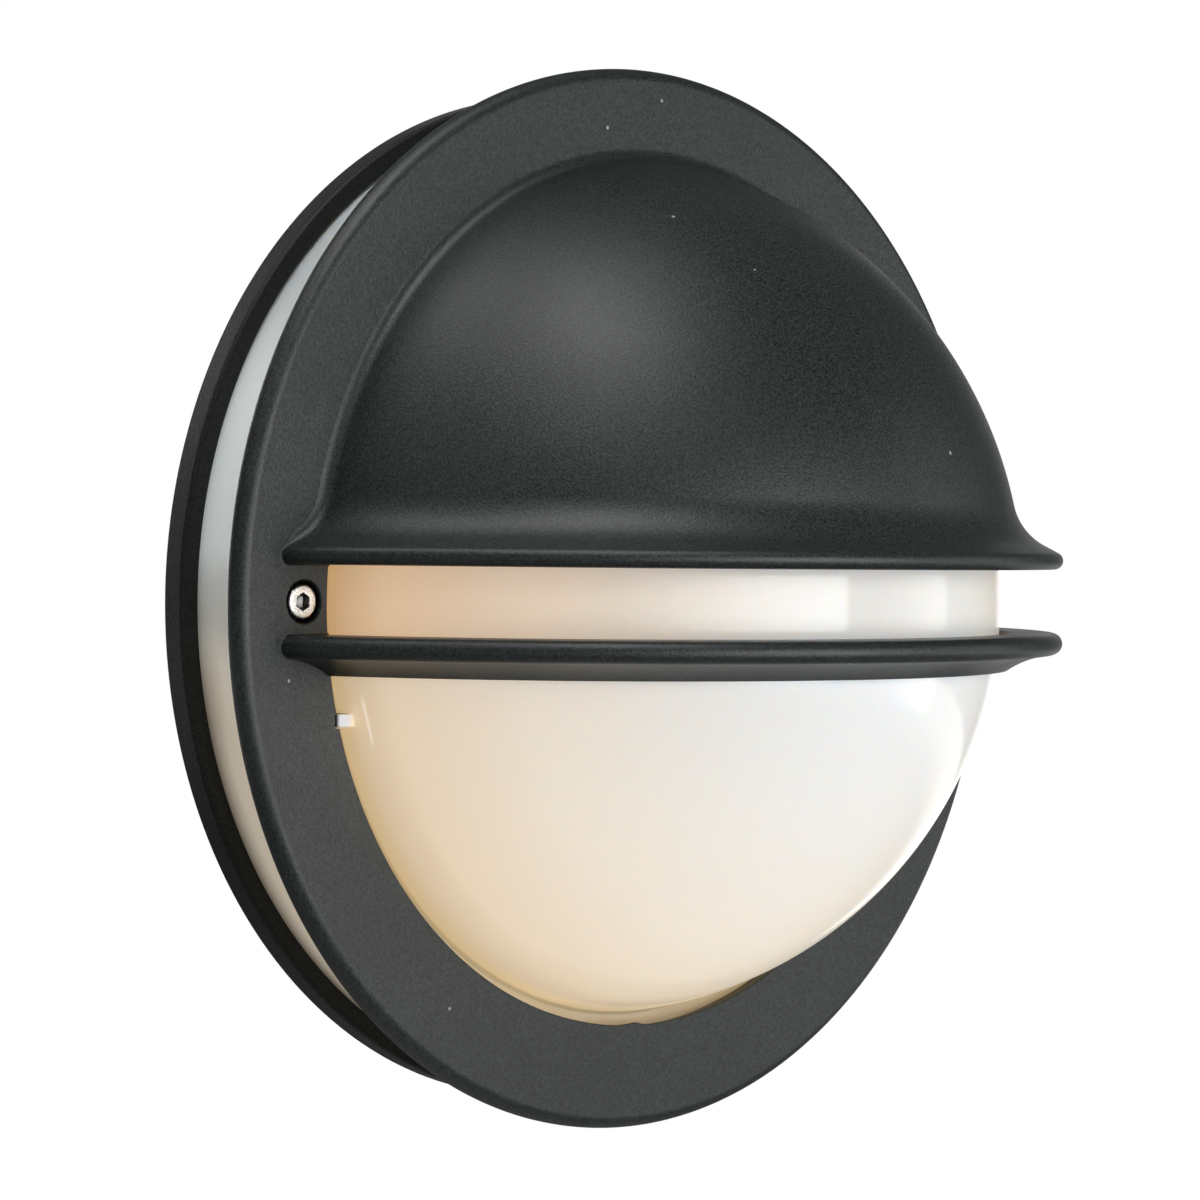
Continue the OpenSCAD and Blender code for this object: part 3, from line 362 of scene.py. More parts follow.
def stud(name, x, z, radius, start, end, edge=0.0, steps=96):
    # round bar that runs to the front, with a rounded front edge where one is given
    top = arc(radius - edge, end - edge, edge, 0, 90, 5) if edge else [(radius, end)]
    return lathe(name, [(0, start), (radius, start)] + top + [(0, end)], steps, x, z)


def block(name, xSpan, frontSpan, zSpan, edge=0.0, turn=0.0):
    points = [(x, -front, z) for x in xSpan for front in frontSpan for z in zSpan]
    faces = [(0, 1, 3, 2), (4, 6, 7, 5), (0, 4, 5, 1), (2, 3, 7, 6), (0, 2, 6, 4), (1, 5, 7, 3)]
    piece = addMesh(name, points, faces)
    if edge:
        bevel = piece.modifiers.new("edges", "BEVEL")
        bevel.width, bevel.segments = edge * mm, 3
        applyModifiers(piece)
    if turn:
        piece.data.transform(Matrix.Rotation(radians(turn), 4, "Y"))
    return piece


def applyModifiers(piece):
    graph = bpy.context.evaluated_depsgraph_get()
    mesh = bpy.data.meshes.new_from_object(piece.evaluated_get(graph))
    piece.modifiers.clear()
    piece.data = mesh


def combine(piece, tools, operation):
    # joins the tools to a piece or cuts them out of it, then removes them
    for tool in tools:
        step = piece.modifiers.new("combine", "BOOLEAN")
        step.operation, step.solver, step.object = operation, "MANIFOLD", tool
    applyModifiers(piece)
    for tool in tools:
        bpy.data.objects.remove(tool)


def finishPiece(piece, slotName, nodes, sharpAngle=32, finish=None):
    piece.data.materials.clear()
    piece.data.materials.append(finish or finishes[slotName])
    for face in piece.data.polygons:
        face.use_smooth = True
        face.material_index = 0
    piece.data.set_sharp_from_angle(angle=radians(sharpAngle))
    normals = piece.modifiers.new("normals", "WEIGHTED_NORMAL")
    normals.keep_sharp, normals.weight = True, 90
    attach(piece, "root")
    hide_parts(*nodes)
    print(piece.name, "made,", len(piece.data.polygons), "faces")


# ---- shared surface effects
def makeSpecks():
    # sparse pale dust specks
    tree, given, result, place = newGroup(
        "dustSpecks", {"Spacing": 95.0, "Size": 0.05, "Share": 0.2}, {"Mask": 0.0})
    cells = addNode(tree, "ShaderNodeTexVoronoi", {
        "Vector": place, "Scale": given["Spacing"]}).outputs
    close = calc("LESS_THAN", cells["Distance"], given["Size"])
    chance = addNode(tree, "ShaderNodeSeparateColor", {0: cells["Color"]}).outputs[0]
    chosen = calc("LESS_THAN", chance, given["Share"])
    setSockets(tree, result, {"Mask": product(close, chosen)})
    return tree


def makeClouds():
    # slow change of tone and gloss with a fine grain on top
    tree, given, result, place = newGroup("cloudAndGrain", {
        "Tone": white, "Second Tone": black, "Cloud Scale": 30.0, "Grain Scale": 1500.0,
        "Grain": 0.1, "Gloss": 0.4, "Gloss Swing": 0.1},
        {"Color": black, "Roughness": 0.0, "Height": 0.0})
    cloud = ramp(noise(place, given["Cloud Scale"], 3.0), 0.35, 0.65)
    grain = ramp(noise(place, given["Grain Scale"], 3.0, 0.6), 0.3, 0.7, -1.0, 1.0)
    tone = mixed(cloud, given["Tone"], given["Second Tone"])
    swing = calc("MULTIPLY_ADD", grain, given["Grain"], 1.0)
    grained = addNode(tree, "ShaderNodeVectorMath", {0: tone, "Scale": swing}, operation="SCALE")
    level = calc("SUBTRACT", cloud, 0.5)
    gloss = calc("MULTIPLY_ADD", level, given["Gloss Swing"], given["Gloss"])
    setSockets(tree, result, {"Color": grained.outputs[0], "Roughness": gloss, "Height": grain})
    return tree


def makeToolMarks():
    # short fine scratches in two directions, as on plated and turned parts
    tree, given, result, place = newGroup(
        "toolMarks", {"Scale": 300.0, "Depth": 1.0}, {"Mask": 0.0, "Height": 0.0})
    lines = []
    for turn, stretch in ((0.4, (1, 12, 12)), (2.1, (12, 12, 1))):
        laid = addNode(tree, "ShaderNodeMapping", {
            "Vector": place, "Rotation": (0, turn, 0), "Scale": stretch})
        lines.append(ramp(noise(laid.outputs[0], given["Scale"]), 0.56, 0.68))
    both = calc("MAXIMUM", *lines)
    setSockets(tree, result, {"Mask": both, "Height": product(both, given["Depth"])})
    return tree


specks, clouds, toolMarks = makeSpecks(), makeClouds(), makeToolMarks()


def useGroup(tree, group, *values):
    # values go to the group's inputs in their order
    used = addNode(tree, "ShaderNodeGroup", node_tree=group)
    for socket, value in zip(used.inputs, values):
        socket.default_value = value
    return used.outputs


# ---- powder coat of bezel and back plate
coatLook = {
    "bezelCoat": {
        "tone": (0.0125, 0.0175, 0.0168, 1),
        "grain": 1.3,          # how far the bumps change the tone
        "mirror": 0.5,         # how strongly it mirrors
        "mouth": (113.8, 114.2),       # painted shade: the opening's wall is darkened up to this radius
        "mouthFace": (-35.4, -35.0),   # and behind this Y
        "mouthShadeTone": (0.0006, 0.0005, 0.0003, 1),
    },
    "plateCoat": {"tone": (0.02, 0.022, 0.02, 1), "grain": 0.5, "mirror": 0.16},
    "cloudScale": 26.0,        # clouds and bumps per metre
    "grainScale": 1700.0,
    "cloudTone": 0.86,         # share of the tone in the darker clouds
    "gloss": 0.41,
    "glossSwing": 0.06,
    "bump": 0.25,
    "bumpDepth": 0.00008,
    "speckColour": (0.3, 0.31, 0.3, 1),
}


# mask for the painted shade on the opening's wall
def mouthShadeMask(tree, coat):
    place = objectPlace(tree)
    radius = distanceAlong(place, (1, 0, 1))
    inside = ramp(radius, *inMetres(coat["mouth"]), 1.0, 0.0)
    behind = ramp(split(place)["Y"], *inMetres(coat["mouthFace"]))
    return product(inside, behind)


def makeCoat(name, look):
    material, tree, shader = newMaterial(name)
    coat = look[name]
    darker = (*(c * look["cloudTone"] for c in coat["tone"][:3]), 1)
    surface = useGroup(tree, clouds, coat["tone"], darker, look["cloudScale"],
                       look["grainScale"], coat["grain"], look["gloss"], look["glossSwing"])
    dust = useGroup(tree, specks)["Mask"]
    colour = mixed(dust, surface["Color"], look["speckColour"])
    if "mouth" in coat:
        # painted shade: the opening's wall takes a near-black tone
        colour = mixed(mouthShadeMask(tree, coat), colour, coat["mouthShadeTone"])
    setSockets(tree, shader, {
        "Base Color": colour, "Roughness": surface["Roughness"],
        "Normal": addBump(look["bump"], look["bumpDepth"], surface["Height"]),
        "Specular IOR Level": coat["mirror"]})
    return material


# ---- opal cover plastic
opalLook = {
    "tints": {
        # painted light: the base tints grow warmer towards the ring, as the painted glow does
        "crown": (0.84, 0.81, 0.765, 1),       # at the front of the dome
        "flank": (0.84, 0.755, 0.63, 1),       # half-way down
        "foot": (0.82, 0.66, 0.47, 1),         # beside the ring
        "sideTop": (0.66, 0.7, 0.7, 1),      # side wall above the middle
        "sideLow": (0.7, 0.63, 0.53, 1),      # and below it
        "lugTone": (0.74, 0.76, 0.78, 1),
        "lugShade": (0.03, 0.03, 0.03, 1),      # painted shade on the part of a lug down in the notch
        # a thin pale line on the dome, with its own painted glow
        "paleLineColour": (0.93, 0.86, 0.76, 1),
        "paleLineGlow": (0.62, 0.56, 0.46, 1),
        # painted glow: emission stands in for the light the moulding passes on from inside, more
        # and warmer towards the ring
        "crownGlow": (0.13, 0.185, 0.24, 1),
        "flankGlow": (0.375, 0.355, 0.315, 1),
        "footGlow": (0.55, 0.45, 0.3, 1),
        "slotTint": (1.04, 0.86, 0.72, 1),     # painted shade: the glow is warmer between lip and rib
        "footTint": (0.98, 0.93, 0.7, 1),     # and painted light, warmer where the dome leaves the ring
        "sideTopGlow": (0.345, 0.365, 0.355, 1),
        "sideLowGlow": (0.335, 0.295, 0.228, 1),
        "lugGlow": (0.16, 0.17, 0.185, 1),
    },
    "gloss": 0.07,
    "haze": 0.05,                              # how much the gloss varies
    "ripple": (0.15, 0.0003),                  # strength and depth of the slight waves
    "refraction": 1.49,
    "wander": 0.003,                           # how far light wanders inside, in metres
    "wanderTint": (1.0, 0.75, 0.5),
}
# where each change of the tint starts and ends in millimetres, the shares at both, and
# True for soft ends
opalZones = {
    "flank": (34, 76, 0, 1),               # towards the front
    "crown": (78, 118, 0, 1),
    "slot": (9.5, 18.5, 1, 0, True),       # up and down from the middle
    "foot": (31, 38, 1, 0),
    "edgeShade": (30, 48, 0.65, 1),        # the opening's edge shades the foot of the dome
    "lowShade": (-111, -103, 0.5, 1),
    "shoulder": (30.2, 32, 0.62, 1),       # less light reaches the shoulder beside the dome
    "paleLineWidth": (0.06, 0.2, 1, 0, True),
    "paleLineLength": (4.5, 6.8, 1, 0),
    "paleLineEnd": (38, 38.5, 0, 0.55),
    "sideLow": (-30, 20, 1, 0, True),      # painted light: the side wall is cooler above the middle
    "post": (3, 14, 0.65, 1, True),        # and a painted shadow where a screw post stands behind it
    "sideUpper": (45, 90, 1, 0.1, True),
    "sideLower": (-45, -20, 1, 0.78, True),
    "sideBack": (-30, 10, 0.3, 0.9),       # share at the plate, from low to high
    "sideFront": (7, 12.5, 0, 1),
    "side": (28.2, 30, 1, 0),
    "lugHeight": (1.6, 1.8, 1, 0),
    "lugOut": (104, 106.8, 0, 1, True),
    "lugFront": (37.1, 37.3, 1, 0),
    "lugBack": (30.2, 30.4, 0, 1),
    "lugProud": (35, 35.6, 0, 1),
}
paleLine = {"x": -103.3, "z": -29.2, "slant": 0.29, "bow": 4.0}


def zone(value, name, start=None):
    low, high, first, last, *soft = opalZones[name]
    return ramp(value, low * mm, high * mm, first if start is None else start, last, *soft)


def paleLineMask(place, front, form):
    # one thin curved pale line left of the middle, below the rib, with a stronger painted glow
    near = vectorMath("ADD", place, (-form["x"] * mm, 0, -form["z"] * mm))["Vector"]
    near = split(near)
    bow = product(near["Z"], near["Z"], form["bow"])
    slant = calc("MULTIPLY_ADD", near["Z"], form["slant"], near["X"])
    off = calc("ABSOLUTE", calc("SUBTRACT", slant, bow))
    along = calc("ABSOLUTE", near["Z"])
    return product(zone(off, "paleLineWidth"), zone(along, "paleLineLength"),
                   zone(front, "paleLineEnd"))


def sideMask(front, up, height):
    # how much of the side wall's painted glow shows
    behind = zone(front, "sideFront", zone(up, "sideBack"))
    first = product(zone(height, "post"), zone(up, "sideUpper"))
    return product(first, product(zone(up, "sideLower"), behind))


def lugMask(front, up, outward):
    level = calc("ABSOLUTE", calc("ADD", up, lug["height"] * mm))
    return product(zone(level, "lugHeight"), zone(outward, "lugOut"),
                   zone(front, "lugFront"), zone(front, "lugBack"))


def makeOpalTint(look):
    tree, given, result, place = newGroup(
        "opalTint", look["tints"],
        {"Color": black, "Glow": black, "Roughness": 0.0, "Height": 0.0})
    axes = split(place)
    up, front = axes["Z"], product(axes["Y"], -1.0)
    height, outward = (calc("ABSOLUTE", axis) for axis in (up, axes["X"]))
    rising, topping = zone(front, "flank"), zone(front, "crown")
    tones = []
    for kind in ("", "Glow"):
        tone = mixed(rising, given["foot" + kind], given["flank" + kind])
        tones.append(mixed(topping, tone, given["crown" + kind]))
    dome, glow = tones
    for name, value in (("slot", height), ("foot", front)):
        share = zone(value, name)
        glow = mixed(share, glow, given[name + "Tint"], "MULTIPLY")
    shade = product(zone(front, "edgeShade"), zone(up, "lowShade"))
    shoulder = zone(front, "shoulder")
    dome = mixed(shoulder, black, dome)
    glow = mixed(shoulder, black, mixed(shade, black, glow))
    paleLineShare = paleLineMask(place, front, paleLine)
    dome = mixed(paleLineShare, dome, given["paleLineColour"])
    glow = mixed(paleLineShare, glow, given["paleLineGlow"])
    low, onSide = zone(up, "sideLow"), zone(front, "side")
    side = mixed(low, given["sideTop"], given["sideLow"])
    sideGlow = mixed(low, given["sideTopGlow"], given["sideLowGlow"])
    sideGlow = mixed(sideMask(front, up, height), black, sideGlow)
    dome = mixed(onSide, dome, side)
    glow = mixed(onSide, glow, sideGlow)
    onLug, proud = lugMask(front, up, outward), zone(front, "lugProud")
    lugTone = mixed(proud, given["lugShade"], given["lugTone"])
    lugGlow = mixed(proud, black, given["lugGlow"])
    haze = noise(place, 35.0, 4.0)
    setSockets(tree, result, {
        "Color": mixed(onLug, dome, lugTone),
        "Glow": mixed(onLug, glow, lugGlow),
        "Roughness": calc("MULTIPLY_ADD", haze, look["haze"], look["gloss"]),
        "Height": noise(place, 55.0, 1.0)})
    return tree


def makeOpal(look):
    material, tree, shader = newMaterial("opalPlastic")
    tint = useGroup(tree, makeOpalTint(look))
    setSockets(tree, shader, {
        "Base Color": tint["Color"], "Emission Color": tint["Glow"], "Emission Strength": 1.0,
        "Roughness": tint["Roughness"], "Normal": addBump(*look["ripple"], tint["Height"]),
        "IOR": look["refraction"], "Subsurface Weight": 1.0, "Subsurface Scale": look["wander"],
        "Subsurface Radius": look["wanderTint"]})
    return material


# ---- plain finishes: tone, second tone, cloud and grain scale, grain, gloss, swing, bump depth
plainLooks = {
    "stainless": ((0.7, 0.69, 0.66), (0.6, 0.59, 0.57), 400, 6000, 0.05, 0.24, 0.1, 4e-6),
    "zinc_steel": ((0.6, 0.63, 0.66), (0.66, 0.63, 0.55), 120, 4000, 0.06, 0.3, 0.14, 4e-6),
    "brass": ((0.72, 0.52, 0.21), (0.55, 0.36, 0.13), 90, 4000, 0.06, 0.3, 0.12, 4e-6),
    "black_rubber": (
        (0.014, 0.014, 0.014), (0.022, 0.022, 0.021), 150, 3500, 0.2, 0.62, 0.12, 2e-5),
    "pale_rubber": ((0.66, 0.6, 0.46), (0.6, 0.54, 0.42), 60, 3000, 0.05, 0.5, 0.1, 1e-5),
    "white_enamel": ((0.8, 0.8, 0.78), (0.75, 0.75, 0.72), 18, 700, 0.02, 0.25, 0.08, 1.2e-5),
    "porcelain": ((0.83, 0.82, 0.77), (0.78, 0.76, 0.7), 40, 500, 0.02, 0.12, 0.05, 1e-5),
    "lamp_glass": ((0.9, 0.89, 0.86), (0.86, 0.86, 0.84), 30, 2500, 0.02, 0.42, 0.06, 4e-6),
    "cream_plastic": ((0.72, 0.68, 0.56), (0.66, 0.62, 0.51), 50, 2500, 0.04, 0.45, 0.1, 8e-6),
    "brown_silicone": (
        (0.11, 0.035, 0.015), (0.085, 0.028, 0.012), 80, 3000, 0.08, 0.45, 0.1, 8e-6),
    "blue_silicone": ((0.02, 0.07, 0.3), (0.015, 0.055, 0.24), 80, 3000, 0.08, 0.45, 0.1, 8e-6),
    "green_silicone": ((0.1, 0.3, 0.03), (0.6, 0.56, 0.03), 80, 3000, 0.08, 0.45, 0.1, 8e-6),
}
plainBump = 0.8
metals = {"slots": ("stainless", "zinc_steel", "brass"), "markGloss": 0.12}
lampTransmission = 0.35


def makePlain(slotName, look):
    tone, second, *surfaceValues, depth = look
    material, tree, shader = newMaterial(slotName)
    surface = useGroup(tree, clouds, (*tone, 1), (*second, 1), *surfaceValues)
    height, gloss = surface["Height"], surface["Roughness"]
    if slotName in metals["slots"]:
        marks = useGroup(tree, toolMarks)
        height = calc("ADD", height, marks["Height"])
        gloss = calc("MULTIPLY_ADD", marks["Mask"], metals["markGloss"], gloss)
        shader.inputs["Metallic"].default_value = 1.0
    if slotName == "lamp_glass":
        shader.inputs["Transmission Weight"].default_value = lampTransmission
    setSockets(tree, shader, {
        "Base Color": surface["Color"], "Roughness": gloss,
        "Normal": addBump(plainBump, depth, height)})
    return material


finishes = {name: makePlain(name, look) for name, look in plainLooks.items()}
finishes["bezel_coat"] = makeCoat("bezelCoat", coatLook)
finishes["plate_coat"] = makeCoat("plateCoat", coatLook)
finishes["opal"] = makeOpal(opalLook)
for part in frame["record"]["subparts"]:
    for slot in frame["nodes"][part["node"]].material_slots:
        slot.material = finishes[part["material_slot"]]
print("finishes made:", len(finishes))


# ---- bezel: flat ring, half hood with its flared lip, and the rib below the middle
bezel = {
    "rimR": 140.0, "openingR": 112.6, "back": 30.8, "face": 35.6,
    "rimRound": 3.5, "backRound": 0.8, "mouthRound": 0.4,
    "hoodCentre": 6.0, "hoodWall": 3.8, "hoodFoot": 3.5, "lipFoot": 2.45,
    "lipHeight": 9.0, "lipOver": 10.3, "lipNose": 2.3, "lipSlope": 28.0, "lipFlare": 16.0,
    "ribTop": 8.0, "ribHeight": 10.0, "ribOver": 10.3, "ribNose": 2.8, "ribFlare": 25.0,
    "ribRoot": 1.1, "edgeRound": 0.5, "smallFoot": 0.5, "tinyFoot": 0.1, "rootDepth": 1.6,
    "rimStep": 0.25, "mouthOut": 0.12, "ballGap": 0.05,
    "rows": 100, "columns": 150, "footSteps": 8,
    "seatX": -6.0, "seatHalf": 4.6, "seatRise": 0.75,      # low seat on the opening's bottom edge
    "seatReach": 2.0, "notchDepth": 8.0, "notchEdge": 0.6,
}
ballR = hypot(bezel["openingR"], bezel["face"] - bezel["hoodCentre"])
hoodR = ballR + bezel["hoodWall"]


def angleOf(u, v):
    return degrees(atan2(v, u))


def sectionArc(centre, radius, start, end, count, outward, footStart, footEnd):
    # points of a section as (radius, height, direction r, direction h, foot radius)
    points = []
    for i in range(count + 1):
        a = radians(blend(start, end, i / count))
        u, v = cos(a), sin(a)
        points.append((centre[0] + radius * u, centre[1] + radius * v, outward * u, outward * v,
                       blend(footStart, footEnd, i / count)))
    return points


def onBall(radius, h, outward, foot):
    r = sqrt(radius ** 2 - h ** 2)
    return r, h, outward * r / radius, outward * h / radius, foot


def lipSection(form):
    # down the outside of the hood, round its lip and up the hollow inside
    foot, lipFoot, small, edge, rows = pick(form, "hoodFoot lipFoot smallFoot edgeRound rows")
    lipH, over, noseR, flareR = pick(form, "lipHeight lipOver lipNose lipFlare")
    sink = form["face"] - form["hoodCentre"]
    nose = (hoodR + over - noseR, lipH + noseR)
    slope = radians(form["lipSlope"])
    up = (sin(slope), cos(slope))
    inward = (-cos(slope), sin(slope))
    reach = noseR + flareR
    base = (nose[0] + reach * up[0], nose[1] + reach * up[1])
    along = base[0] * inward[0] + base[1] * inward[1]
    far = base[0] ** 2 + base[1] ** 2 - (hoodR + flareR) ** 2
    run = -along - sqrt(along ** 2 - far)
    flare = (base[0] + run * inward[0], base[1] + run * inward[1])
    touchH = flare[1] * hoodR / (hoodR + flareR)
    topH = hoodR * sqrt(1 - ((sink + foot) / (hoodR + foot)) ** 2)
    points = []
    for i in range(rows):
        h = topH * cos(blend(0, acos(touchH / topH), i / rows))
        points.append(onBall(hoodR, h, 1, foot))
    points += sectionArc(flare, flareR, angleOf(-flare[0], -flare[1]) % 360,
                         angleOf(-up[0], -up[1]) % 360, 18, -1, foot, lipFoot)
    start = (nose[0] + noseR * up[0], nose[1] + noseR * up[1])
    for t in (2 / 3, 1 / 3):
        points.append((start[0] + run * t * inward[0], start[1] + run * t * inward[1],
                       up[0], up[1], blend(small, lipFoot, t)))
    points += sectionArc(nose, noseR, angleOf(*up), -90, 16, 1, small, small)
    cornerH = lipH + edge
    cornerR = sqrt((ballR + edge) ** 2 - cornerH ** 2)
    points += [(blend(nose[0], cornerR, i / 8), lipH, 0, -1, small) for i in range(1, 8)]
    points += sectionArc((cornerR, cornerH), edge, -90, angleOf(-cornerR, -cornerH), 5, 1,
                         small, form["tinyFoot"])
    low = cornerH * ballR / (ballR + edge)
    high = sqrt(ballR ** 2 - (sink - form["rootDepth"]) ** 2)
    inner = rows - 10
    for i in range(1, inner + 1):
        h = high * sin(blend(asin(low / high), pi / 2, i / inner))
        points.append(onBall(ballR, h, -1, 0))
    return points


def ribSection(form):
    # round the rib: flat top, nose, hollow sweep, lower edge and inside; height runs down
    small, edge, top, rim = pick(form, "smallFoot edgeRound ribTop rimStep")
    over, noseR, flareR, tiny = pick(form, "ribOver ribNose ribFlare tinyFoot")
    low = top + form["ribHeight"]
    nose = (hoodR + over - noseR, top + noseR)
    lowR = sqrt(ballR ** 2 - low ** 2)
    corner = (lowR + form["ribRoot"], low)
    far = dist(nose, corner)
    axis = ((nose[0] - corner[0]) / far, (nose[1] - corner[1]) / far)
    a = (flareR ** 2 - (flareR + noseR) ** 2 + far ** 2) / (2 * far)
    b = sqrt(flareR ** 2 - a ** 2)
    sweep = (corner[0] + a * axis[0] - b * axis[1], corner[1] + a * axis[1] + b * axis[0])
    hub = (sqrt((ballR + edge) ** 2 - (top + edge) ** 2), top + edge)
    points = [(blend(hub[0], nose[0], i / 8), top, 0, -1, small) for i in range(8)]
    toSweep = (sweep[0] - nose[0], sweep[1] - nose[1])
    points += sectionArc(nose, noseR, -90, angleOf(*toSweep), 18, 1, small, small)
    points += sectionArc(sweep, flareR, angleOf(-toSweep[0], -toSweep[1]) % 360,
                         angleOf(corner[0] - sweep[0], corner[1] - sweep[1]) % 360,
                         18, -1, small, 3 * tiny)[1:]
    points += [(corner[0] - rim, low, 0, 1, 2 * tiny), (lowR + rim, low, 0, 1, tiny)]
    for i in range(1, 12):
        points.append(onBall(ballR, blend(low - rim, top + edge, i / 12), -1, 0))
    points += sectionArc(hub, edge, angleOf(-hub[0], -hub[1]) % 360, 270, 5, 1, tiny, small)
    return points[:-1]


def sweepRow(entry, form, flip):
    # one row of points from the ring on one side, over the front, to the ring on the other
    r, h, dirR, dirH, foot = entry
    face, centre, depth, count, columns = pick(
        form, "face hoodCentre rootDepth footSteps columns")

    def around(a):
        return Vector((r * sin(a), centre + r * cos(a), h))

    if foot:
        # a ball of the foot radius rolls between this row and the ring's face
        hubR = r + foot * dirR
        end = acos(min(1, (face + foot - centre) / hubR))
        hub = Vector((hubR * sin(end), face + foot, h + foot * dirH))
        first = Vector((-dirR * sin(end), -dirR * cos(end), -dirH))
        side = [hub + foot * first.slerp(Vector((0, -1, 0)), i / count)
                for i in range(1, count + 1)]
        side.append(Vector((side[-1].x, face - depth, side[-1].z)))
    else:
        top = face + overcut
        end = acos(min(1, (top - centre) / r))
        fronts = [blend(top, face - depth, i / (count + 1)) for i in range(1, count + 2)]
        side = [around(acos(min(1, (front - centre) / r))) for front in fronts]
    middle = [around(blend(-end, end, i / columns)) for i in range(columns + 1)]
    mirrored = [Vector((-p.x, p.y, p.z)) for p in reversed(side)]
    return [(p.x, -p.y, p.z * flip) for p in mirrored + middle + side]


def sweepSection(name, section, form, flip, closed):
    rows = [sweepRow(entry, form, flip) for entry in section]
    width = len(rows[0])
    points = [p for row in rows for p in row]
    faces = []
    for k in range(len(rows) if closed else len(rows) - 1):
        m = (k + 1) % len(rows)
        for i in range(width - 1):
            faces.append((k * width + i, k * width + i + 1, m * width + i + 1, m * width + i))
    left = [k * width for k in range(len(rows))]
    right = [k * width + width - 1 for k in range(len(rows))]
    faces += [left, right] if closed else [right + left[::-1]]
    return addMesh(name, points, faces)


def ringProfile(form):
    face, back, rim, mouth, rimRound, backRound = pick(
        form, "face back rimR mouthRound rimRound backRound")
    points = []
    for i in range(5):
        front = blend(back, face - mouth, i / 4)
        points.append((sqrt(ballR ** 2 - (front - form["hoodCentre"]) ** 2), front))
    points += arc(form["openingR"] + form["mouthOut"] + mouth, face - mouth, mouth, 170, 90, 4)
    points += arc(rim - rimRound, face - rimRound, rimRound, 90, 0, 12)
    points += arc(rim - backRound, back + backRound, backRound, 0, -90, 5)
    return points


def raiseSeat(piece, form):
    # swells the opening's bottom edge into a low smooth seat
    for vertex in piece.data.vertices:
        x, z = vertex.co.x / mm, vertex.co.z / mm
        off = abs(x - form["seatX"]) / form["seatHalf"]
        if z < 0 and off < 1 and hypot(x, z) < form["openingR"] + form["seatReach"]:
            vertex.co.z += form["seatRise"] * (0.5 + 0.5 * cos(pi * off)) * mm


def buildBezel(form):
    body = lathe("bezelShell", ringProfile(form), 480)
    raiseSeat(body, form)
    hood = sweepSection("hood", lipSection(form), form, 1, False)
    rib = sweepSection("rib", ribSection(form), form, -1, True)
    combine(body, [hood, rib], "UNION")
    bosses, cuts = [], []
    centre, face, back = pick(form, "hoodCentre face back")
    bevel, boreR, boreFloor, bossLow = pick(screw, "boreChamfer boreR boreFloor bossLow")
    far, half = lug["x"] + lug["gap"], lug["width"] / 2 + lug["sideGap"]
    hollow = [(0, centre - overcut)] + arc(0, centre, ballR + form["ballGap"], 0, 90, 90)
    for side in (-1, 1):
        x = side * screw["x"]
        bosses.append(stud("boss", x, 0, screw["bossR"], bossLow, back + overcut))
        combine(bosses[-1], [lathe("ball", hollow)], "DIFFERENCE")
        cuts.append(lathe("bore", [
            (0, boreFloor), (boreR, boreFloor), (boreR, face - bevel),
            (boreR + bevel + overcut, face + overcut), (0, face + overcut)], 96, x))
        cuts.append(stud("hole", x, 0, screw["holeR"], bossLow - overcut, boreFloor + overcut))
        cuts.append(block("notch", sorted((side * (far - form["notchDepth"]), side * far)),
                          (back - overcut, face + overcut),
                          (-lug["height"] - half, -lug["height"] + half), form["notchEdge"]))
    combine(body, bosses, "UNION")
    combine(body, cuts, "DIFFERENCE")
    return body


finishPiece(buildBezel(bezel), "bezel_coat", ["bezel"])


# ---- opal cover: dome, shoulder and side wall in one moulding
cover = {
    "domeR": 111.7, "domeCentre": 9.0, "wall": 3.0, "shoulder": 30.0, "skirtR": 129.5,
    "skirtWall": 2.4, "foot": 5.2, "shoulderRound": 2.0, "fillet": 1.0, "edge": 0.3,
    "innerRound": 1.2, "screwHoleR": 7.0, "holeBelow": 5.0, "holeAbove": 2.0,
}


def coverProfile(form):
    domeR, centre, wall, shoulder, fillet = pick(form, "domeR domeCentre wall shoulder fillet")
    skirtR, foot, edge, curve, inset = pick(form, "skirtR foot edge shoulderRound innerRound")
    hubR = sqrt((domeR + fillet) ** 2 - (shoulder + fillet - centre) ** 2)
    rise = degrees(asin((shoulder + fillet - centre) / (domeR + fillet)))
    inner, under, innerR = skirtR - form["skirtWall"], shoulder - wall, domeR - wall
    low = degrees(asin((under - centre) / innerR))
    points = [(0, centre + domeR)]
    points += arc(0, centre, domeR, 90, rise, 84)[1:]
    points += arc(hubR, shoulder + fillet, fillet, rise + 180, 270, 5)[1:]
    points += arc(skirtR - curve, shoulder - curve, curve, 90, 0, 8)
    points += arc(skirtR - edge, foot + edge, edge, 0, -90, 3)
    points += arc(inner + edge, foot + edge, edge, 270, 180, 3)
    points += arc(inner - inset, under - inset, inset, 0, 90, 4)
    points += arc(0, centre, innerR, low, 90, 60)[:-1]
    points.append((0, centre + innerR))
    return points


def buildCover(form):
    body = lathe("opalCover", coverProfile(form))
    lugs, holes, shoulder, half = [], [], form["shoulder"], lug["width"] / 2
    for side in (-1, 1):
        span = sorted((side * lug["x"], side * (lug["x"] - lug["length"])))
        lugs.append(block("lug", span, (shoulder - overcut, lug["front"]),
                          (-lug["height"] - half, -lug["height"] + half), lug["edge"]))
        holes.append(stud("hole", side * screw["x"], 0, form["screwHoleR"],
                          shoulder - form["holeBelow"], shoulder + form["holeAbove"]))
    combine(body, lugs, "UNION")
    combine(body, holes, "DIFFERENCE")
    return body


finishPiece(buildCover(cover), "opal", ["diffuser"])


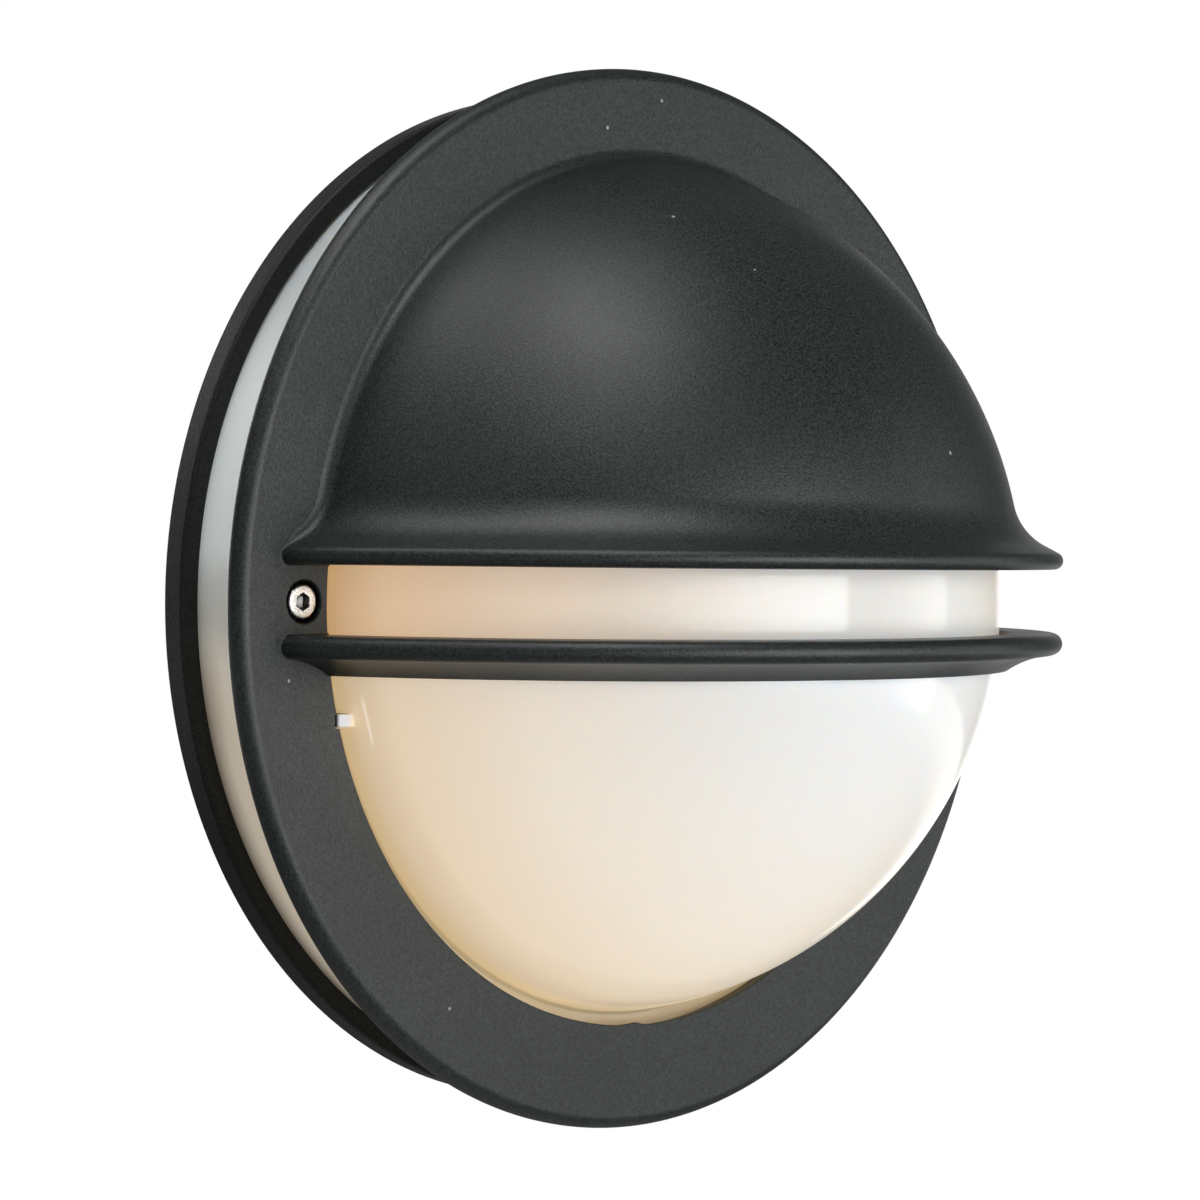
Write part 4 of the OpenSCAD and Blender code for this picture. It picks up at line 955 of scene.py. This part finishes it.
# ---- back plate: rim, gasket groove, posts and bosses in front, ribs and hubs behind
plate = {
    "r": 135.0, "height": 7.2, "edge": 1.2, "recess": 2.0, "floor": 5.0, "rimIn": 116.0,
    "grooveOut": 130.0, "grooveIn": 126.6, "grooveFloor": 3.0, "grooveWall": 4.0,
    "sealR": 128.0, "sealWidth": 3.0, "sealDepth": 1.0,
    "recessRound": 0.8, "floorRound": 1.0, "outerBevel": 0.4, "bevel": 0.3,
    "hubR": 16.5, "midR": 66.25, "ribs": 12, "ribWidth": 2.2, "ribBack": 0.3,
    "ribSink": 0.5, "ribReach": 0.6, "cableR": 11.0,
    "pad": (10.0, 0.0, 7.0, 0.5), "padZ": 95.0,      # radius, back, front, rounded edge
    "slotWidth": 5.5, "slotLength": 14.0,
    "webWidth": 3.0, "webTop": 20.2, "webToe": 2.0, "webHalf": 17.5, "webHalfTop": 5.5,
    "seatHalfX": 16.0, "seatHalfZ": 5.0, "seatTop": 8.0, "seatZ": -45.0,   # for the terminals
    "seatHoleX": 5.5, "seatHoleR": 1.3,
    # radius, front, rounded edge, radius of the hole and where it starts
    "post": (6.5, 24.0, 0.4, 2.6, 8.2),
    "boss": (4.0, 12.0, 0.3, 2.05, 6.5), "bossPlace": 108.0,
    "earth": (5.0, 11.0, 0.3, 2.05, 5.8), "earthPlace": (-40.0, -26.0),
}


def sealSpan(form):
    return form["sealR"] - form["sealWidth"] / 2, form["sealR"] + form["sealWidth"] / 2


def plateProfile(form):
    r, edge, recess, rimIn, top, floor = pick(form, "r edge recess rimIn height floor")
    curve, bend, bevel, outer = pick(form, "recessRound floorRound bevel outerBevel")
    grooveOut, grooveIn, grooveFloor, deep = pick(
        form, "grooveOut grooveIn grooveFloor sealDepth")
    low, high = sealSpan(form)
    wall = grooveIn - form["grooveWall"]
    points = [(0, recess)]
    points += arc(rimIn - curve, recess - curve, curve, 90, 0, 4)
    points += [(rimIn, bevel), (rimIn + bevel, 0), (low, 0), (low, deep), (high, deep),
               (high, 0), (r - outer, 0), (r, outer)]
    points += arc(r - edge, top - edge, edge, 0, 90, 6)
    points += [(grooveOut + bevel, top), (grooveOut, top - bevel), (grooveOut, grooveFloor),
               (grooveIn, grooveFloor), (grooveIn, top - bevel), (grooveIn - bevel, top),
               (wall + outer, top), (wall, top - outer), (wall, floor + bend)]
    points += arc(wall - bend, floor + bend, bend, 0, -90, 4)[1:]
    points.append((0, floor))
    return points


def buildWeb(x, floor, form):
    # sloped web on both sides of a screw post
    wide, narrow, toe, top = pick(form, "webHalf webHalfTop webToe webTop")
    outline = [(-wide, floor - overcut), (-wide, floor + toe), (-narrow, top),
               (narrow, top), (wide, floor + toe), (wide, floor - overcut)]
    half, count = form["webWidth"] / 2, len(outline)
    points = [(x + side * half, -front, z) for side in (-1, 1) for z, front in outline]
    faces = [tuple(range(count)), tuple(range(2 * count - 1, count - 1, -1))]
    faces += [(i, (i + 1) % count, count + (i + 1) % count, count + i) for i in range(count)]
    return addMesh("web", points, faces)


def buildPlate(form):
    body = lathe("backPlate", plateProfile(form), 480)
    back, floor, bevel, width, hubR = pick(form, "ribBack floor bevel ribWidth hubR")
    inside = form["recess"] + form["ribSink"]
    added, cuts = [], []

    def addBoss(x, z, radius, top, edge, holeR, holeLow):
        added.append(stud("boss", x, z, radius, floor - overcut, top, edge))
        cuts.append(stud("bossHole", x, z, holeR, holeLow, top + overcut))

    for radius in (hubR, form["midR"]):
        outer = radius + width
        added.append(lathe("hub", [
            (radius, back + bevel), (radius + bevel, back), (outer - bevel, back),
            (outer, back + bevel), (outer, inside), (radius, inside)]))
    for i in range(form["ribs"]):
        added.append(block(
            "rib", (hubR + overcut, form["rimIn"] + form["ribReach"]), (back, inside),
            (-width / 2, width / 2), bevel, (i + 0.5) * 360 / form["ribs"]))
    half, slotTop = form["slotWidth"] / 2, form["pad"][2] + overcut
    reach = form["slotLength"] / 2 - half
    for side in (-1, 1):
        x, z = side * screw["x"], side * form["padZ"]
        addBoss(x, 0, *form["post"])
        added += [buildWeb(x, floor, form), stud("pad", 0, z, *form["pad"])]
        for end in (-reach, reach):
            cuts.append(stud("slotEnd", 0, z + end, half, -overcut, slotTop))
        cuts.append(block("slot", (-half, half), (-overcut, slotTop), (z - reach, z + reach)))
    for angle in (45, 135, 225, 315):
        a, place = radians(angle), form["bossPlace"]
        addBoss(place * cos(a), place * sin(a), *form["boss"])
    halfX, halfZ, seatTop, seatZ = pick(form, "seatHalfX seatHalfZ seatTop seatZ")
    added.append(block("blockSeat", (-halfX, halfX), (floor - overcut, seatTop),
                       (seatZ - halfZ, seatZ + halfZ), bevel))
    for x in (-form["seatHoleX"], form["seatHoleX"]):
        cuts.append(stud("seatHole", x, seatZ, form["seatHoleR"], floor, seatTop + overcut))
    addBoss(*form["earthPlace"], *form["earth"])
    cuts.append(stud("cableHole", 0, 0, form["cableR"], -overcut, floor + overcut))
    combine(body, added, "UNION")
    combine(body, cuts, "DIFFERENCE")
    return body


finishPiece(buildPlate(plate), "plate_coat", ["base_plate"])


# ---- bezel screws with ridged heads, hexagon sockets and rolled threads
def screwRings(form):
    # rings from the tip on, as (radius, front, thread depth, phase in turns);
    # on rings without a thread the phase 1 stands for ridges
    top, length, rim, threadR, depth = pick(form, "headTop length headR threadR threadDepth")
    tipEnd, steps, pitch, fadeEnd = pick(form, "tip threadSteps pitch threadFade")
    under, bevel = form["underEdge"], form["chamfer"]
    low, core = top - form["headHeight"], threadR - depth
    tip, start = low - length, low - form["neck"]
    rings = [(core * form["tipShare"], tip, 0, 0), (core, tip + tipEnd, 0, 0)]
    count = int((length - form["unthreaded"]) / pitch * steps)
    for i in range(count + 1):
        front = start - (count - i) * pitch / steps
        fade = min(1, (front - tip - tipEnd) / fadeEnd, (start - front) / fadeEnd + 0.001)
        rings.append((core, front, max(fade, 0) * depth, i / steps))
    rings += [(core, low - form["neckEnd"], 0, 0), (threadR, low, 0, 0),
              (rim - under, low, 0, 0), (rim, low + under, 0, -1),
              (rim, low + form["ridgeLow"], 0, 1), (rim, top - form["ridgeTop"], 0, 1),
              (rim, top - bevel, 0, -1)]
    return rings + [(r, f, 0, 0) for r, f in arc(rim - bevel, top - bevel, bevel, 15, 90, 5)]


def hexCutter(x, form):
    # hexagon with a flared mouth and a drilled tip
    top, size = form["headTop"], form["hexFlats"] / sqrt(3)
    floor = top - form["hexDepth"]
    above, below = form["hexMouth"]
    points = []
    for grow, front in ((form["hexFlare"], top + above), (1, top + below), (1, floor)):
        for i in range(6):
            a = radians(60 * i)
            points.append((x + grow * size * sin(a), -front, grow * size * cos(a)))
    points.append((x, form["hexTip"] - floor, 0))
    faces = [tuple(range(6))]
    for k in (0, 6):
        faces += [(k + i, k + (i + 1) % 6, k + 6 + (i + 1) % 6, k + 6 + i) for i in range(6)]
    faces += [(12 + i, 12 + (i + 1) % 6, 18) for i in range(6)]
    return addMesh("socket", points, faces)


def buildScrew(name, side, form):
    x, steps, rings = side * form["x"], form["ridges"] * 4, screwRings(form)
    points, faces = [(x, -rings[0][1], 0)], []
    for radius, front, depth, phase in rings:
        for i in range(steps):
            a, r = 2 * pi * i / steps, radius
            if depth:
                wave = (phase + i / steps) % 1
                r += depth * (1 - abs(2 * wave - 1))
            elif phase == 1 and i % 4 == 0:
                r -= form["ridgeDepth"]
            points.append((x + r * cos(a), -front, r * sin(a)))
    points.append((x, -form["headTop"], 0))
    last = len(points) - 1
    for i in range(steps):
        j = (i + 1) % steps
        faces += [(0, 1 + i, 1 + j), (last, last - steps + i, last - steps + j)]
        for k in range(len(rings) - 1):
            a, b = 1 + k * steps, 1 + (k + 1) * steps
            faces.append((a + i, b + i, b + j, a + j))
    body = addMesh(name, points, faces)
    combine(body, [hexCutter(x, form)], "DIFFERENCE")
    return body


def makeScrewSteel(form):
    # stainless steel with a painted shade inside the hexagon socket
    material = makePlain("stainless", plainLooks["stainless"])
    material.name = "screwSteel"
    tree = material.node_tree
    shader = tree.nodes["Principled BSDF"]
    axes = split(objectPlace(tree))
    across = calc("SUBTRACT", calc("ABSOLUTE", axes["X"]), form["x"] * mm)
    square = calc("MULTIPLY_ADD", axes["Z"], axes["Z"], product(across, across))
    within = ramp(calc("SQRT", square), *inMetres(form["shadeRadius"]), 1.0, 0.0)
    depths = [depth - form["headTop"] for depth in form["shadeDepth"]]
    mask = product(within, ramp(axes["Y"], *inMetres(depths)))
    colour = shader.inputs["Base Color"].links[0].from_socket
    setSockets(tree, shader, {"Base Color": mixed(mask, colour, form["socketShadeTone"])})
    return material


screwSteel = makeScrewSteel(screw)
for screwSide, sideName in ((-1, "Left"), (1, "Right")):
    finishPiece(buildScrew("capScrew" + sideName, screwSide, screw), "stainless",
                ["bezel_screw_" + sideName.lower()], screw["sharpAngle"], screwSteel)


# ---- seals that show: rings under the screw heads, foam strip behind the plate
seals = {
    "head": (2.6, 5.1, 29.2, 30.2, 0.35),      # inner and outer radius, back, front, rounding
    "wall": (*sealSpan(plate), 0.0, plate["sealDepth"], 0.25),
}


def roundedRing(name, inner, outer, low, high, edge, x=0.0, steps=120):
    profile = []
    for cx, cy, start in ((inner + edge, low + edge, 180), (outer - edge, low + edge, 270),
                          (outer - edge, high - edge, 0), (inner + edge, high - edge, 90)):
        profile += arc(cx, cy, edge, start, start + 90, 4)
    return lathe(name, profile, steps, x)


def buildSeals(form):
    rings = [roundedRing("headSeals", *form["head"], side * screw["x"]) for side in (-1, 1)]
    combine(rings[0], [rings[1]], "UNION")
    return rings[0]


finishPiece(buildSeals(seals), "black_rubber", ["screw_head_seals"])
finishPiece(roundedRing("wallSeal", *seals["wall"], steps=360), "black_rubber", ["wall_seal"])
